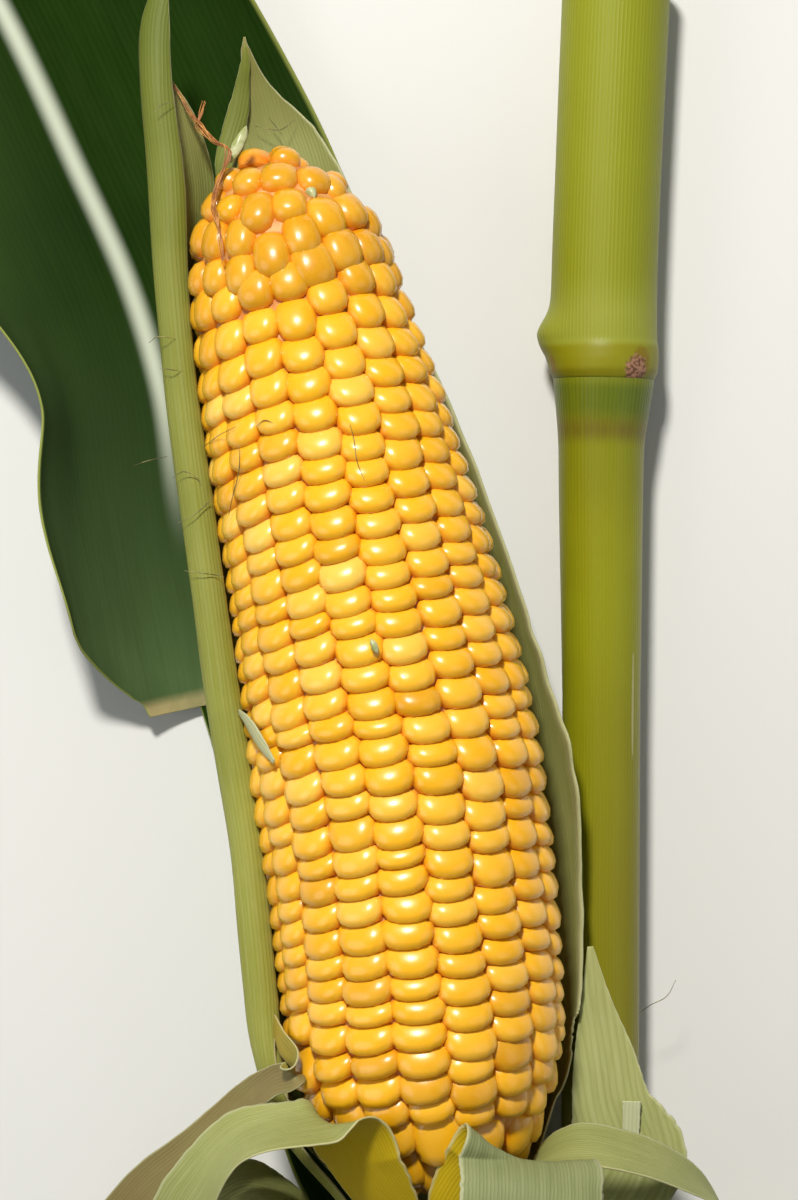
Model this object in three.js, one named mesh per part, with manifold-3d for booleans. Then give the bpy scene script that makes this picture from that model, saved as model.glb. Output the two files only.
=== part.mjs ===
import * as THREE from 'three';
import { mergeVertices } from 'three/addons/utils/BufferGeometryUtils.js';
import Module from 'manifold-3d';

// Maize ear on its stalk, cut above and below, laid down with the husks peeled open.
// Millimetres, +Z up, ear tip towards +Y. Lines are laid out about the middle of the ear and moved by
// frameShift, so that the centre of the base of the whole comes to the origin.

const frameShift = [46.9, -6.4, -0.3];
const seamGap = 0.3;

const earHeight = 33;
const kernelRows = 18;
const kernelsPerRow = 42;
const kernelBulge = 2.0;
const earLine = [
  [8.8, -104.1], [7, -90], [4.5, -75.7], [3.1, -56.8], [-0.7, -27.5], [-5.5, 0],
  [-12.4, 29.2], [-18.9, 58.5], [-20.3, 74], [-19.6, 79.1],
];
// distance from the base along the ear, radius over the kernels
const earOutline = [
  [0, 0], [0.4, 4.6], [3.4, 9], [7.8, 13.2], [14.7, 18.6], [20.8, 21.9], [28.6, 24], [47.6, 24.8],
  [77, 25.4], [105, 23.6], [135, 21.4], [165, 18], [173, 15.8], [180.4, 11.2], [183.8, 7.2],
  [185.2, 3.6], [185.7, 0],
];
// distance from the base along the ear, turn of the kernel rows about the ear in radians
const rowTurn = [
  [0, 0.02], [38, 0.03], [50, 0.06], [80, 0.05], [92, 0.11], [107, 0.14], [122, 0.12], [140, 0.05],
  [186, 0.02],
];

const stalkHeight = 10.6;
const stalkFoot = -185;
const stalkTop = 112;
const earNode = -150;
const earNodeRadius = 8.7;
const coreRadius = 7.7;
const stalkLine = [
  [36.2, stalkFoot], [35.9, earNode], [35.7, -78], [35.9, -18], [35.9, 26.6], [36.3, 38.7],
  [36.4, 55.6], [38.5, 106.5], [38.8, stalkTop],
];
// height along the stalk, bare radius; the core goes on inside the sheath above the upper node
const stalkOutline = [
  [stalkFoot, 8], [-160, 8.1], [-154, 8.3], [earNode, earNodeRadius], [-146, 8.2], [-140, 7.3],
  [-120, 6.9], [-18, 6.9], [26.6, 7.7], [34, 8.5], [38.2, 8.8], [39.2, coreRadius], [56, coreRadius],
  [76, coreRadius], [94, coreRadius], [stalkTop, coreRadius],
];

const sheathFoot = 39.6;
const sheathInside = coreRadius + seamGap + 0.1;
// height along the stalk, outer radius of the leaf sheath, with its swollen ring at the node
const sheathOutline = [
  [sheathFoot, 9.2], [41, 9.7], [44, 9.7], [46, 9.5], [49, 9.6], [56, 9.5], [76, 9.5], [94, 9.5],
  [stalkTop, 9.6],
];
const budHeight = 47;
const budSpread = 3.4;
const budReach = 2.4;

const shankRadius = 6.2;
const shankGrowth = 0.8;
const shankLine = [
  [8.8, -105.1, earHeight], [9.6, -112, 31.2], [12, -121, 27], [18, -131, 20.5], [25, -139.5, 15],
  [33, -147, 11.4],
];

const leastBladeThickness = 1;
const bladeLengthPerThickness = 98;

const kernelColour = 0xe9a81f;
const stalkColour = 0x93a03a;
const sheathColour = 0xa9b84a;
const shankColour = 0xa3ac55;
const leafColour = 0x24511f;
const huskColour = 0xb3bd6c;
const paleHuskColour = 0xc9cf93;

function vector(point) {
  return new THREE.Vector3(point[0], point[1], point[2] ?? 0);
}

function line(points, height) {
  const lifted = points.map((point) => vector([point[0], point[1], point[2] ?? height]));
  return new THREE.CatmullRomCurve3(lifted, false, 'centripetal');
}

function readTable(table, place) {
  const next = table.findIndex((row) => row[0] >= place);
  if (next === 0) return table[0][1];
  if (next < 0) return table[table.length - 1][1];
  const [before, after] = [table[next - 1], table[next]];
  const share = (place - before[0]) / (after[0] - before[0]);
  return THREE.MathUtils.lerp(before[1], after[1], share);
}

// unit directions beside and above a curve that runs more or less level
function frameAt(curve, share) {
  const at = curve.getPointAt(share);
  const along = curve.getTangentAt(share);
  const side = along.clone().cross(new THREE.Vector3(0, 0, 1)).normalize();
  const up = side.clone().cross(along).normalize();
  return { at, along, side, up };
}

function weld(geometry) {
  geometry.deleteAttribute('uv');
  geometry.deleteAttribute('normal');
  const merged = mergeVertices(geometry, 1e-4);
  const kept = [];
  const index = merged.getIndex();
  for (let i = 0; i < index.count; i += 3) {
    const corners = [index.getX(i), index.getX(i + 1), index.getX(i + 2)];
    if (new Set(corners).size === 3) kept.push(...corners);
  }
  merged.setIndex(kept);
  merged.computeVertexNormals();
  return merged;
}

function reshape(geometry, placeOf) {
  const position = geometry.getAttribute('position');
  for (let i = 0; i < position.count; i += 1) {
    const moved = placeOf(new THREE.Vector3().fromBufferAttribute(position, i));
    position.setXYZ(i, moved.x, moved.y, moved.z);
  }
  return weld(geometry);
}

function named(name, geometry, colour, roughness) {
  const material = new THREE.MeshStandardMaterial({ color: colour, roughness, metalness: 0 });
  material.name = name;
  const mesh = new THREE.Mesh(geometry, material);
  mesh.name = name;
  return mesh;
}

function ringPlace(frame, angle, radius) {
  return frame.at.clone()
    .addScaledVector(frame.side, Math.sin(angle) * radius)
    .addScaledVector(frame.up, -Math.cos(angle) * radius);
}

function barrelPlace(frame, point, radius) {
  return frame.at.clone()
    .addScaledVector(frame.side, point.x * radius)
    .addScaledVector(frame.up, point.z * radius);
}

function acrossAt(frame, angle) {
  return frame.side.clone()
    .multiplyScalar(Math.cos(angle))
    .addScaledVector(frame.up, Math.sin(angle))
    .toArray();
}

// Ear: cob and kernels in one body, the kernels of neighbouring rows side by side.

const earCurve = line(earLine, earHeight);
const earLength = earCurve.getLength();

function earRadius(distance) {
  return readTable(earOutline, distance);
}

// distance along the ear for an even step over its skin, so that kernels keep their size at the ends
function skinSteps() {
  const fine = 400;
  const reach = [0];
  for (let i = 1; i <= fine; i += 1) {
    const from = ((i - 1) / fine) * earLength;
    const to = (i / fine) * earLength;
    reach.push(reach[i - 1] + Math.hypot(to - from, earRadius(to) - earRadius(from)));
  }
  return (share) => {
    const wanted = share * reach[fine];
    const next = Math.max(1, reach.findIndex((value) => value >= wanted));
    const part = (wanted - reach[next - 1]) / (reach[next] - reach[next - 1]);
    return Math.min(earLength, ((next - 1 + part) / fine) * earLength);
  };
}

function kernelLift(row, ring) {
  const acrossRow = Math.cos(Math.PI * (row - Math.round(row)));
  const alongRow = Math.abs(Math.cos(Math.PI * ring));
  return Math.min(acrossRow, alongRow);
}

function makeEar() {
  const around = kernelRows * 2;
  const rings = kernelsPerRow * 2;
  const distanceAt = skinSteps();
  const ball = new THREE.SphereGeometry(1, around, rings);
  const skin = reshape(ball, (point) => {
    const angle = Math.atan2(point.x, -point.z);
    const share = Math.acos(THREE.MathUtils.clamp(-point.y, -1, 1)) / Math.PI;
    const distance = distanceAt(share);
    const outer = earRadius(distance);
    const row = (angle / (2 * Math.PI)) * kernelRows;
    const depth = kernelBulge * Math.min(1, outer / 8);
    const radius = Math.max(0, outer - depth * (1 - kernelLift(row, share * kernelsPerRow)));
    const turned = angle + readTable(rowTurn, distance);
    return ringPlace(frameAt(earCurve, distance / earLength), turned, radius);
  });
  return named('ear', skin, kernelColour, 0.35);
}

// Stalk, its upper leaf sheath and the shank that carries the ear.

const stalkCurve = line(stalkLine, stalkHeight);
const stalkLength = stalkTop - stalkFoot;

function stalkFrame(y) {
  return frameAt(stalkCurve, THREE.MathUtils.clamp((y - stalkFoot) / stalkLength, 0, 1));
}

function makeStalk() {
  const heights = stalkOutline.map((row) => row[0]);
  const sections = heights.length - 1;
  const column = new THREE.CylinderGeometry(1, 1, 1, 32, sections);
  const skin = reshape(column, (point) => {
    const y = heights[Math.round((point.y + 0.5) * sections)];
    const frame = stalkFrame(y);
    const radius = readTable(stalkOutline, y);
    return barrelPlace(frame, point, radius);
  });
  return named('stalk', skin, stalkColour, 0.45);
}

function makeUpperSheath() {
  const outside = sheathOutline.map(([y, radius]) => new THREE.Vector2(radius, y));
  const lining = [stalkTop, 94, 76, 56, sheathFoot].map((y) => new THREE.Vector2(sheathInside, y));
  const tube = new THREE.LatheGeometry([lining[4], ...outside, ...lining], 32);
  const skin = reshape(tube, (point) => {
    const radius = Math.hypot(point.x, point.z);
    const angle = Math.atan2(point.x, -point.z);
    const budSide = Math.max(0, -Math.sin(angle)) ** 6;
    const nearBud = Math.exp(-(((point.y - budHeight) / budSpread) ** 2));
    const swell = radius > sheathInside + 0.5 ? budReach * budSide * nearBud : 0;
    return ringPlace(stalkFrame(point.y), angle, radius + swell);
  });
  return named('upper_sheath', skin, sheathColour, 0.5);
}

const solids = await Module();
solids.setup();

function toSolid(geometry) {
  const vertProperties = new Float32Array(geometry.getAttribute('position').array);
  const triVerts = new Uint32Array(geometry.getIndex().array);
  return new solids.Manifold(new solids.Mesh({ numProp: 3, vertProperties, triVerts }));
}

function fromSolid(solid) {
  const mesh = solid.getMesh();
  const geometry = new THREE.BufferGeometry();
  geometry.setAttribute('position', new THREE.BufferAttribute(new Float32Array(mesh.vertProperties), 3));
  geometry.setIndex(Array.from(mesh.triVerts));
  return weld(geometry);
}

function rod(curve, radiusAt, around, along) {
  const cylinder = new THREE.CylinderGeometry(1, 1, 1, around, along);
  return reshape(cylinder, (point) => {
    const share = THREE.MathUtils.clamp(point.y + 0.5, 0, 1);
    const frame = frameAt(curve, share);
    const radius = radiusAt(share);
    return barrelPlace(frame, point, radius);
  });
}

const shankCurve = line(shankLine, 0);
const shankLength = shankCurve.getLength();

// the shank is cut to the round of the stalk's node
function makeShank() {
  const limb = rod(shankCurve, (share) => shankRadius + share * shankGrowth, 20, 9);
  const nodeLine = line([[35.9, earNode - 30], [35.8, earNode], [35.7, earNode + 30]], stalkHeight);
  const node = rod(nodeLine, () => earNodeRadius + seamGap, 28, 2);
  const pieces = toSolid(limb).subtract(toSolid(node)).decompose();
  pieces.sort((a, b) => b.volume() - a.volume());
  return named('shank', fromSolid(pieces[0]), shankColour, 0.5);
}

// Leaf and husks: each is a thin blade curled about its middle line. A station on it gives the middle
// point, the direction across, and the half widths and curl angles of its two sides.

function blend(stations, read) {
  return new THREE.CatmullRomCurve3(stations.map(read), false, 'catmullrom', 0.5);
}

function bladeSurface(stations) {
  const middle = line(stations.map((station) => station.at), 0);
  const across = blend(stations, (station) => vector(station.across));
  const halves = blend(stations, (station) => vector(station.half));
  const curls = blend(stations, (station) => vector(station.curl));
  const surface = (u, v) => {
    const along = middle.getTangent(v);
    const sideways = across.getPoint(v);
    sideways.addScaledVector(along, -sideways.dot(along)).normalize();
    const facing = sideways.clone().cross(along);
    const half = u < 0 ? halves.getPoint(v).x : halves.getPoint(v).y;
    const curl = u < 0 ? curls.getPoint(v).x : curls.getPoint(v).y;
    const angle = Math.abs(curl) < 0.02 ? 0.02 : curl;
    const radius = half / angle;
    return middle.getPoint(v)
      .addScaledVector(sideways, Math.sign(u) * radius * Math.sin(Math.abs(u) * angle))
      .addScaledVector(facing, radius * (1 - Math.cos(u * angle)));
  };
  return { surface, length: middle.getLength() };
}

function surfaceNormal(surface, u, v) {
  const step = 0.004;
  const [left, right] = [Math.max(-1, u - step), Math.min(1, u + step)];
  const [low, high] = [Math.max(0, v - step), Math.min(1, v + step)];
  const across = surface(right, v).sub(surface(left, v));
  const along = surface(u, high).sub(surface(u, low));
  return across.cross(along).normalize();
}

function makeBlade(name, stations, colour, acrossCuts, alongCuts) {
  const { surface, length } = bladeSurface(stations);
  const thickness = Math.max(leastBladeThickness, length / bladeLengthPerThickness);
  const slab = new THREE.BoxGeometry(2, 1, 1, acrossCuts, alongCuts, 1);
  const skin = reshape(slab, (point) => {
    const u = point.x;
    const v = THREE.MathUtils.clamp(point.y + 0.5, 0, 1);
    return surface(u, v).addScaledVector(surfaceNormal(surface, u, v), point.z * thickness);
  });
  return named(name, skin, colour, 0.6);
}

function station(at, across, half, curl) {
  return { at, across, half, curl };
}

// husk mid surface where it wraps the ear: distance from the ear's base, radius about the ear's line
const cupOutline = [
  [-8, 8.8], [-3, 10], [2, 13.2], [7, 17.4], [12, 21.1], [17, 24.2], [23, 26.3], [30, 27.2], [48, 27.5],
  [77, 27.8], [105, 25.9], [135, 23.7], [160, 21],
];

// station on a husk that lies round the ear: angle from straight below, half angles of its two sides
function wrapStation(distance, angle, lift, sides, loose) {
  const share = THREE.MathUtils.clamp(distance / earLength, 0, 1);
  const frame = frameAt(earCurve, share);
  frame.at.addScaledVector(frame.along, distance - share * earLength);
  const radius = readTable(cupOutline, distance) + lift;
  const at = ringPlace(frame, angle, radius);
  const half = [radius * sides[0], radius * sides[1]];
  const curl = [sides[0] * loose[0], sides[1] * loose[1]];
  return { at: at.toArray(), across: acrossAt(frame, angle), half, curl };
}

// station at the foot of a husk, beside the shank, some way below the ear
function footStation(drop, angle, radius, half) {
  const frame = frameAt(shankCurve, drop / shankLength);
  frame.side.negate();
  const at = ringPlace(frame, angle, radius);
  const curl = half / radius;
  return { at: at.toArray(), across: acrossAt(frame, angle), half: [half, half], curl: [curl, curl] };
}

const level = [1, 0, 0];

const huskBack = [
  footStation(6, 0, 8.6, 9.5),
  ...[2, 7, 12, 17, 23, 30].map((distance) => wrapStation(distance, 0, 0, [1, 1.3], [1, 0.93])),
  wrapStation(48, 0, 0, [1.1, 1.35], [1, 0.88]),
  wrapStation(70, 0, 0, [1.15, 1.47], [1, 0.87]),
  wrapStation(88, 0, 0, [1.05, 1.34], [1, 0.88]),
  wrapStation(105, 0, 0, [0.95, 1.25], [1, 0.9]),
  wrapStation(135, 0, 0, [0.75, 1.15], [1, 0.95]),
  wrapStation(157, 0, 0, [0.6, 0.95], [1, 1]),
  station([-20.6, 74, 13.6], [1, 0.05, 0], [10, 11], [0.5, 0.55]),
  station([-23.5, 83, 13.4], [0.97, 0.2, 0], [6.5, 7.5], [0.4, 0.45]),
  station([-25.6, 90.5, 15], [0.97, 0.22, 0], [2.6, 3], [0.3, 0.3]),
  station([-27.1, 97.6, 17], [0.97, 0.2, 0], [0.7, 0.7], [0.2, 0.2]),
];

const huskLeft = [
  footStation(9, -1.75, 10.5, 3.4),
  station([-10.5, -103.5, 32], [-0.3, 0, -0.95], [3.2, 3.2], [0.5, 0.5]),
  station([-21.2, -92, 29.3], [-0.4, 0, -0.9], [3.4, 3.4], [0.7, 0.7]),
  station([-27, -80, 32.5], [-0.85, 0, -0.5], [4.3, 4.2], [1.2, 1.1]),
  station([-27.9, -66, 34.5], [-0.95, 0, -0.3], [4.4, 4.4], [1.4, 1.3]),
  station([-28.7, -43, 36], [-0.95, 0, -0.3], [4.4, 4.4], [1.4, 1.3]),
  station([-32.6, -18, 36.5], [-0.95, 0, -0.3], [4.4, 4.4], [1.4, 1.3]),
  station([-35.6, 6.9, 36.5], [-0.95, 0, -0.3], [4.4, 4.4], [1.4, 1.3]),
  station([-39.8, 37.4, 36.5], [-0.95, 0, -0.3], [4.4, 4.4], [1.4, 1.3]),
  station([-41.6, 60, 36], [-0.95, 0, -0.3], [4.4, 4.4], [1.4, 1.3]),
  station([-41.4, 83, 34], [-0.95, 0, -0.3], [4, 4], [1.3, 1.2]),
  station([-42.5, 100, 32.5], [-0.95, 0, -0.3], [3.2, 3.2], [1, 1]),
  station([-42.9, 107, 31.5], [-0.95, 0, -0.3], [1.2, 1.2], [0.6, 0.6]),
];

const huskInnerLeft = [
  ...[3, 7, 12, 17, 23, 30].map((distance) => wrapStation(distance, -1, 3.4, [0.27, 0.27], [1, 1])),
  wrapStation(48, -1, 3.2, [0.3, 0.3], [1, 1]),
  wrapStation(77, -1, 3.2, [0.3, 0.3], [1, 1]),
  wrapStation(105, -1, 3.2, [0.3, 0.3], [1, 1]),
  wrapStation(132, -1.05, 3.4, [0.3, 0.3], [1, 1]),
  station([-36, 56, 24.5], [0.45, 0, -0.85], [4.8, 4.8], [0.3, 0.3]),
  station([-35.6, 72, 26], [0.6, 0, -0.7], [4, 4.6], [0.3, 0.3]),
  station([-37.6, 83.5, 27.6], [0.7, 0, -0.6], [1.8, 2.6], [0.3, 0.3]),
  station([-39.3, 89.1, 29], [0.7, 0, -0.6], [0.6, 0.6], [0.2, 0.2]),
];

const peelFarLeft = [
  footStation(1, -1.6, 9.3, 2.2),
  wrapStation(8, -1.55, -1.5, [0.16, 0.16], [1, 1]),
  wrapStation(17, -1.52, -1.4, [0.11, 0.11], [1, 1]),
  wrapStation(25, -1.5, -1, [0.09, 0.09], [1, 1]),
  station([-21.4, -73.4, 35], [0, 1, 0], [2.1, 2.1], [0.1, 0.1]),
  station([-20, -75.2, 41], [0.15, 0.85, 0.3], [2.2, 2.2], [0.1, 0.1]),
  station([-17.6, -78, 45.4], [0.17, 0.83, 0.4], [2.3, 2.3], [0.1, 0.1]),
  station([-18, -80, 46.2], [0.1, 0.85, 0.2], [2.5, 2.5], [0.2, 0.2]),
  station([-21, -81.6, 42.2], [-0.1, 0.8, -0.3], [2.8, 2.8], [0.2, 0.2]),
  station([-26, -86, 36], [-0.3, 0.6, -0.7], [4, 4], [0.35, 0.35]),
  station([-35, -95.4, 28.5], [-0.4, 0.6, -0.6], [4.6, 4.6], [0.4, 0.4]),
  station([-45.4, -105.4, 19.5], [-0.5, 0.6, -0.5], [5.2, 5.2], [0.4, 0.4]),
  station([-55, -121, 9.5], [-0.8, 0.5, -0.3], [5, 5], [0.4, 0.4]),
  station([-60.5, -137, 4], [-0.95, 0.3, -0.1], [3.8, 3.8], [0.3, 0.3]),
  station([-63, -150, 1.6], [-1, 0.1, 0], [0.9, 0.9], [0.1, 0.1]),
];

const peelLeft = [
  footStation(5, -2.7, 9.8, 3.5),
  station([-1.5, -104, 45], [-0.9, 0.2, -0.4], [6.5, 6.5], [0.4, 0.4]),
  station([-6.8, -95, 48.6], [-0.86, 0.25, -0.45], [9, 9], [0.3, 0.3]),
  station([-11, -88, 51], [-0.84, 0.22, -0.5], [9.6, 8.2], [0.2, 0.2]),
  station([-16.4, -88, 52.6], [-0.3, 0.3, -0.9], [9, 8], [0.2, 0.2]),
  station([-25.8, -91.1, 51], [-0.23, 0.21, -0.95], [9.4, 9.4], [0.3, 0.3]),
  station([-33.6, -102, 43], [-0.4, 0.25, -0.85], [9.2, 9.2], [0.4, 0.4]),
  station([-38.8, -117, 29.5], [-0.75, 0.3, -0.5], [8.2, 8.2], [0.4, 0.4]),
  station([-46, -138, 13], [-0.93, 0.25, -0.25], [7.5, 7.5], [0.4, 0.4]),
  station([-50, -162, 5], [-1, 0.1, 0], [5, 5], [0.3, 0.3]),
  station([-52, -184, 1.6], [-1, 0.1, 0], [0.9, 0.9], [0.1, 0.1]),
];

const peelUnderLeft = [
  footStation(19, -1.25, 7.8, 4),
  station([-7, -114.5, 22], [-0.6, 0.2, -0.75], [4.8, 4.8], [0.4, 0.4]),
  station([-17, -106, 26], [-0.5, 0.4, -0.75], [6.8, 6.8], [0.3, 0.3]),
  station([-26, -103.5, 26], [-0.4, 0.5, -0.75], [7, 7], [0.3, 0.3]),
  station([-32.5, -110, 18.5], [-0.6, 0.5, -0.6], [7, 7], [0.3, 0.3]),
  station([-36, -122, 10], [-0.9, 0.3, -0.2], [6.6, 6.6], [0.3, 0.3]),
  station([-37, -137, 4.6], [-1, 0.1, 0], [5, 5], [0.3, 0.3]),
  station([-36.5, -151, 1.6], [-1, 0, 0], [0.9, 0.9], [0.1, 0.1]),
];

const peelFront = [
  footStation(5, 2.7, 7.25, 3),
  station([15, -105.5, 46.5], [-1, 0, 0], [7.5, 7.5], [0.4, 0.4]),
  station([19.3, -97.5, 51.5], [-1, 0.07, 0], [10, 10], [0.25, 0.25]),
  station([21.9, -93.4, 55], [-1, 0.09, 0], [12, 12], [0.15, 0.15]),
  station([22, -96.5, 60.5], [-1, 0.09, 0], [12, 12], [0.12, 0.12]),
  station([21.2, -106, 62.5], [-1, 0.08, 0], [12, 12], [0.2, 0.2]),
  station([19.5, -124, 57], [-1, 0.05, 0], [11, 11], [0.4, 0.4]),
  station([16.5, -143, 44], [-1, 0, 0], [9.8, 9.8], [0.5, 0.5]),
  station([12.5, -162, 26], [-1, 0, 0], [8, 8], [0.5, 0.5]),
  station([8.5, -180, 10], [-1, 0, 0], [5.5, 5.5], [0.4, 0.4]),
  station([5.5, -196, 1.8], [-1, 0, 0], [0.9, 0.9], [0.1, 0.1]),
];

const peelRight = [
  footStation(2, 1.95, 7.05, 2.6),
  station([21.5, -103, 38.5], [-0.6, -0.2, 0.7], [5, 5], [0.3, 0.3]),
  station([26, -96, 41], [-0.5, -0.4, 0.75], [5.6, 5.6], [0.25, 0.25]),
  station([32, -93, 42.6], [-0.2, -0.45, 0.87], [5.8, 5.8], [0.2, 0.2]),
  station([39.4, -94.6, 41], [0.2, -0.5, 0.8], [6.2, 6.2], [0.3, 0.3]),
  station([48, -98.8, 36], [0.5, -0.6, 0.6], [7, 7], [0.35, 0.35]),
  station([57, -106, 27], [0.7, -0.6, 0.35], [7.4, 7.4], [0.4, 0.4]),
  station([67, -121, 14], [0.85, -0.4, 0.1], [7, 7], [0.4, 0.4]),
  station([74, -140, 5.5], [0.95, -0.2, 0], [5, 5], [0.3, 0.3]),
  station([77, -160, 1.6], [1, -0.1, 0], [0.9, 0.9], [0.1, 0.1]),
];

const huskRight = [
  footStation(10, 0.95, 9.6, 4),
  station([25.5, -113.5, 23.8], [0.35, -0.93, 0.1], [6, 6], [0.3, 0.3]),
  station([35, -106, 22.6], [0.75, -0.66, 0], [7.6, 7.6], [0.15, 0.15]),
  station([38.7, -97, 23.3], [0.97, -0.2, 0], [9, 9], [0.12, 0.12]),
  station([38.3, -90, 23.5], [1, 0.05, 0], [8.6, 8.6], [0.12, 0.12]),
  station([36.4, -80.7, 23.5], [1, 0.1, 0], [6, 6], [0.12, 0.12]),
  station([35.4, -71, 23], [1, 0.1, 0], [2.8, 2.8], [0.1, 0.1]),
  station([34.4, -60.5, 22], [1, 0.1, 0], [0.7, 0.7], [0.1, 0.1]),
];

const leafSheath = [
  station([35.8, -147, 1.1], level, [19, 15], [0.7, 1.4]),
  station([31, -135, 1.1], [0.96, 0.25, 0], [22, 12], [0.45, 0.3]),
  station([17, -112, 1.1], [0.88, 0.47, 0], [26, 13], [0.3, 0.1]),
  station([4, -88, 1.1], [0.88, 0.47, 0], [27, 20], [0.25, 0.1]),
  station([-8, -62, 1.1], [0.9, 0.42, 0], [19, 19], [0.35, 0.15]),
  station([-20, -39, 1.5], [0.89, 0.457, 0], [11, 18], [0.4, 0.2]),
  station([-30.4, -22.9, 2.1], [0.889, 0.457, 0], [11.5, 16], [0.5, 0.25]),
  station([-32.2, -19.4, 2.4], [0.889, 0.457, 0], [12.5, 15], [0.5, 0.2]),
];

const leafBlade = [
  station([-32.7, -18.5, 2.4], [0.889, 0.457, 0], [12.5, 15], [0.5, 0.2]),
  station([-34.3, -15.3, 2.4], [0.889, 0.457, 0], [14, 16.5], [0.6, 0.2]),
  station([-36.8, 0, 2.2], [0.97, 0.2, 0], [31, 27], [1.4, 0.15]),
  station([-40.2, 17.9, 2], [0.99, 0.15, 0], [32, 36], [1.45, 0.1]),
  station([-42.9, 37.7, 2], [0.98, 0.2, 0], [29, 41], [1.45, 0.08]),
  station([-48.5, 56.5, 2.2], [0.92, 0.38, 0], [32, 43], [1.3, 0.08]),
  station([-58.4, 78.7, 3.5], [0.91, 0.4, 0], [36, 42.5], [1.0, 0.1]),
  station([-69.8, 103.2, 6.5], [0.88, 0.47, 0], [38, 40], [0.8, 0.15]),
  station([-86, 132, 12], [0.82, 0.57, 0], [36, 37], [0.6, 0.2]),
  station([-106, 158, 17], [0.74, 0.67, 0], [30, 31], [0.5, 0.25]),
  station([-129, 180, 18], [0.64, 0.77, 0], [22, 22.5], [0.4, 0.3]),
  station([-152, 197, 12], [0.55, 0.84, 0], [12.5, 12.5], [0.3, 0.3]),
  station([-172, 208, 2.5], [0.45, 0.89, 0], [1.2, 1.2], [0.1, 0.1]),
];

function buildPlant() {
  const plant = new THREE.Group();
  plant.name = 'maize_ear_on_stalk';
  plant.add(
    makeEar(),
    makeStalk(),
    makeUpperSheath(),
    makeShank(),
    makeBlade('leaf_sheath', leafSheath, leafColour, 10, 12),
    makeBlade('leaf_blade', leafBlade, leafColour, 12, 24),
    makeBlade('husk_back', huskBack, huskColour, 12, 24),
    makeBlade('husk_left', huskLeft, huskColour, 6, 20),
    makeBlade('husk_inner_left', huskInnerLeft, paleHuskColour, 4, 18),
    makeBlade('husk_right', huskRight, huskColour, 6, 14),
    makeBlade('peel_far_left', peelFarLeft, huskColour, 4, 28),
    makeBlade('peel_left', peelLeft, huskColour, 6, 24),
    makeBlade('peel_under_left', peelUnderLeft, huskColour, 6, 14),
    makeBlade('peel_front', peelFront, huskColour, 6, 24),
    makeBlade('peel_right', peelRight, huskColour, 6, 22),
  );
  plant.position.fromArray(frameShift);
  return plant;
}

export default buildPlant();
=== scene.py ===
import bisect
import math
import random

import bmesh
import bpy
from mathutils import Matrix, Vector, noise


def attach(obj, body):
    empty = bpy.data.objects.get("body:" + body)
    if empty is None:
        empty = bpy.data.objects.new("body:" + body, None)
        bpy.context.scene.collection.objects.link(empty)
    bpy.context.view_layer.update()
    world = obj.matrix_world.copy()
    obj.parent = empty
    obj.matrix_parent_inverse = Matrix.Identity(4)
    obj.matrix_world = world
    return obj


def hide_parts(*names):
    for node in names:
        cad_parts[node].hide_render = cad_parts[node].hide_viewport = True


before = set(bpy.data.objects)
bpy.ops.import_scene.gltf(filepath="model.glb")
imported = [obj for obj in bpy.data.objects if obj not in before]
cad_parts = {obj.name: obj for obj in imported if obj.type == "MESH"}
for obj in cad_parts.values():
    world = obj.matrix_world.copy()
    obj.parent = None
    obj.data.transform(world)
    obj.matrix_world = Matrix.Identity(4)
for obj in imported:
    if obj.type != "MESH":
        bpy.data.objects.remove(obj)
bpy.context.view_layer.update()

print("frame loaded,", len(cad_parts), "nodes")

# Lengths are in millimetres about the middle of the ear: +Y towards its tip, +Z up.
# frameShift moves them to the frame of the solids.
frameShift = Vector((46.9, -6.4, -0.3))
metresPerMm = 0.001
skyward = Vector((0, 0, 1))
fullTurn = 2 * math.pi


def toFrame(point):
    return (point + frameShift) * metresPerMm


def clamp(value, low=0.0, high=1.0):
    return min(max(value, low), high)


def shareBetween(value, ends):
    return clamp((value - ends[0]) / (ends[1] - ends[0]))


def addObject(name, data):
    made = bpy.data.objects.new(name, data)
    bpy.context.scene.collection.objects.link(made)
    return made


# camera and light
view = {"height": 733.0, "lens": 122.1, "sensor": 36.0, "near": 0.01}
lamps = [
    # name, place, size, power, colour
    ("keyLamp", (-160, 620, 900), 150, 14.5, (1.0, 0.97, 0.91)),
    ("fillLamp", (-900, -200, 700), 900, 3.4, (0.95, 0.98, 1.0)),
    ("sideLamp", (900, -100, 700), 900, 1.3, (1.0, 0.99, 0.97)),
]
studio = {"aim": (0, 0, 30), "colour": (0.82, 0.84, 0.86, 1.0), "strength": 0.22}


def makeCamera():
    data = bpy.data.cameras.new("camera")
    data.lens = view["lens"]
    data.sensor_width = view["sensor"]
    data.clip_start = view["near"]
    camera = addObject("camera", data)
    camera.location = toFrame(Vector((0, 0, view["height"])))
    bpy.context.scene.camera = camera


def makeLamps():
    aim = toFrame(Vector(studio["aim"]))
    for name, place, size, power, colour in lamps:
        data = bpy.data.lights.new(name, "AREA")
        data.shape = "DISK"
        data.size = size * metresPerMm
        data.energy = power
        data.color = colour
        lamp = addObject(name, data)
        lamp.location = toFrame(Vector(place))
        lamp.rotation_euler = (aim - lamp.location).to_track_quat("-Z", "Y").to_euler()
    world = bpy.data.worlds.new("studio")
    world.use_nodes = True
    sky = world.node_tree.nodes["Background"].inputs
    sky["Color"].default_value = studio["colour"]
    sky["Strength"].default_value = studio["strength"]
    bpy.context.scene.world = world
    bpy.context.scene.view_settings.view_transform = "Standard"


# lines: a curve through points, and places along it by distance
lineSteps = 500
shortest = 1e-6


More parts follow.
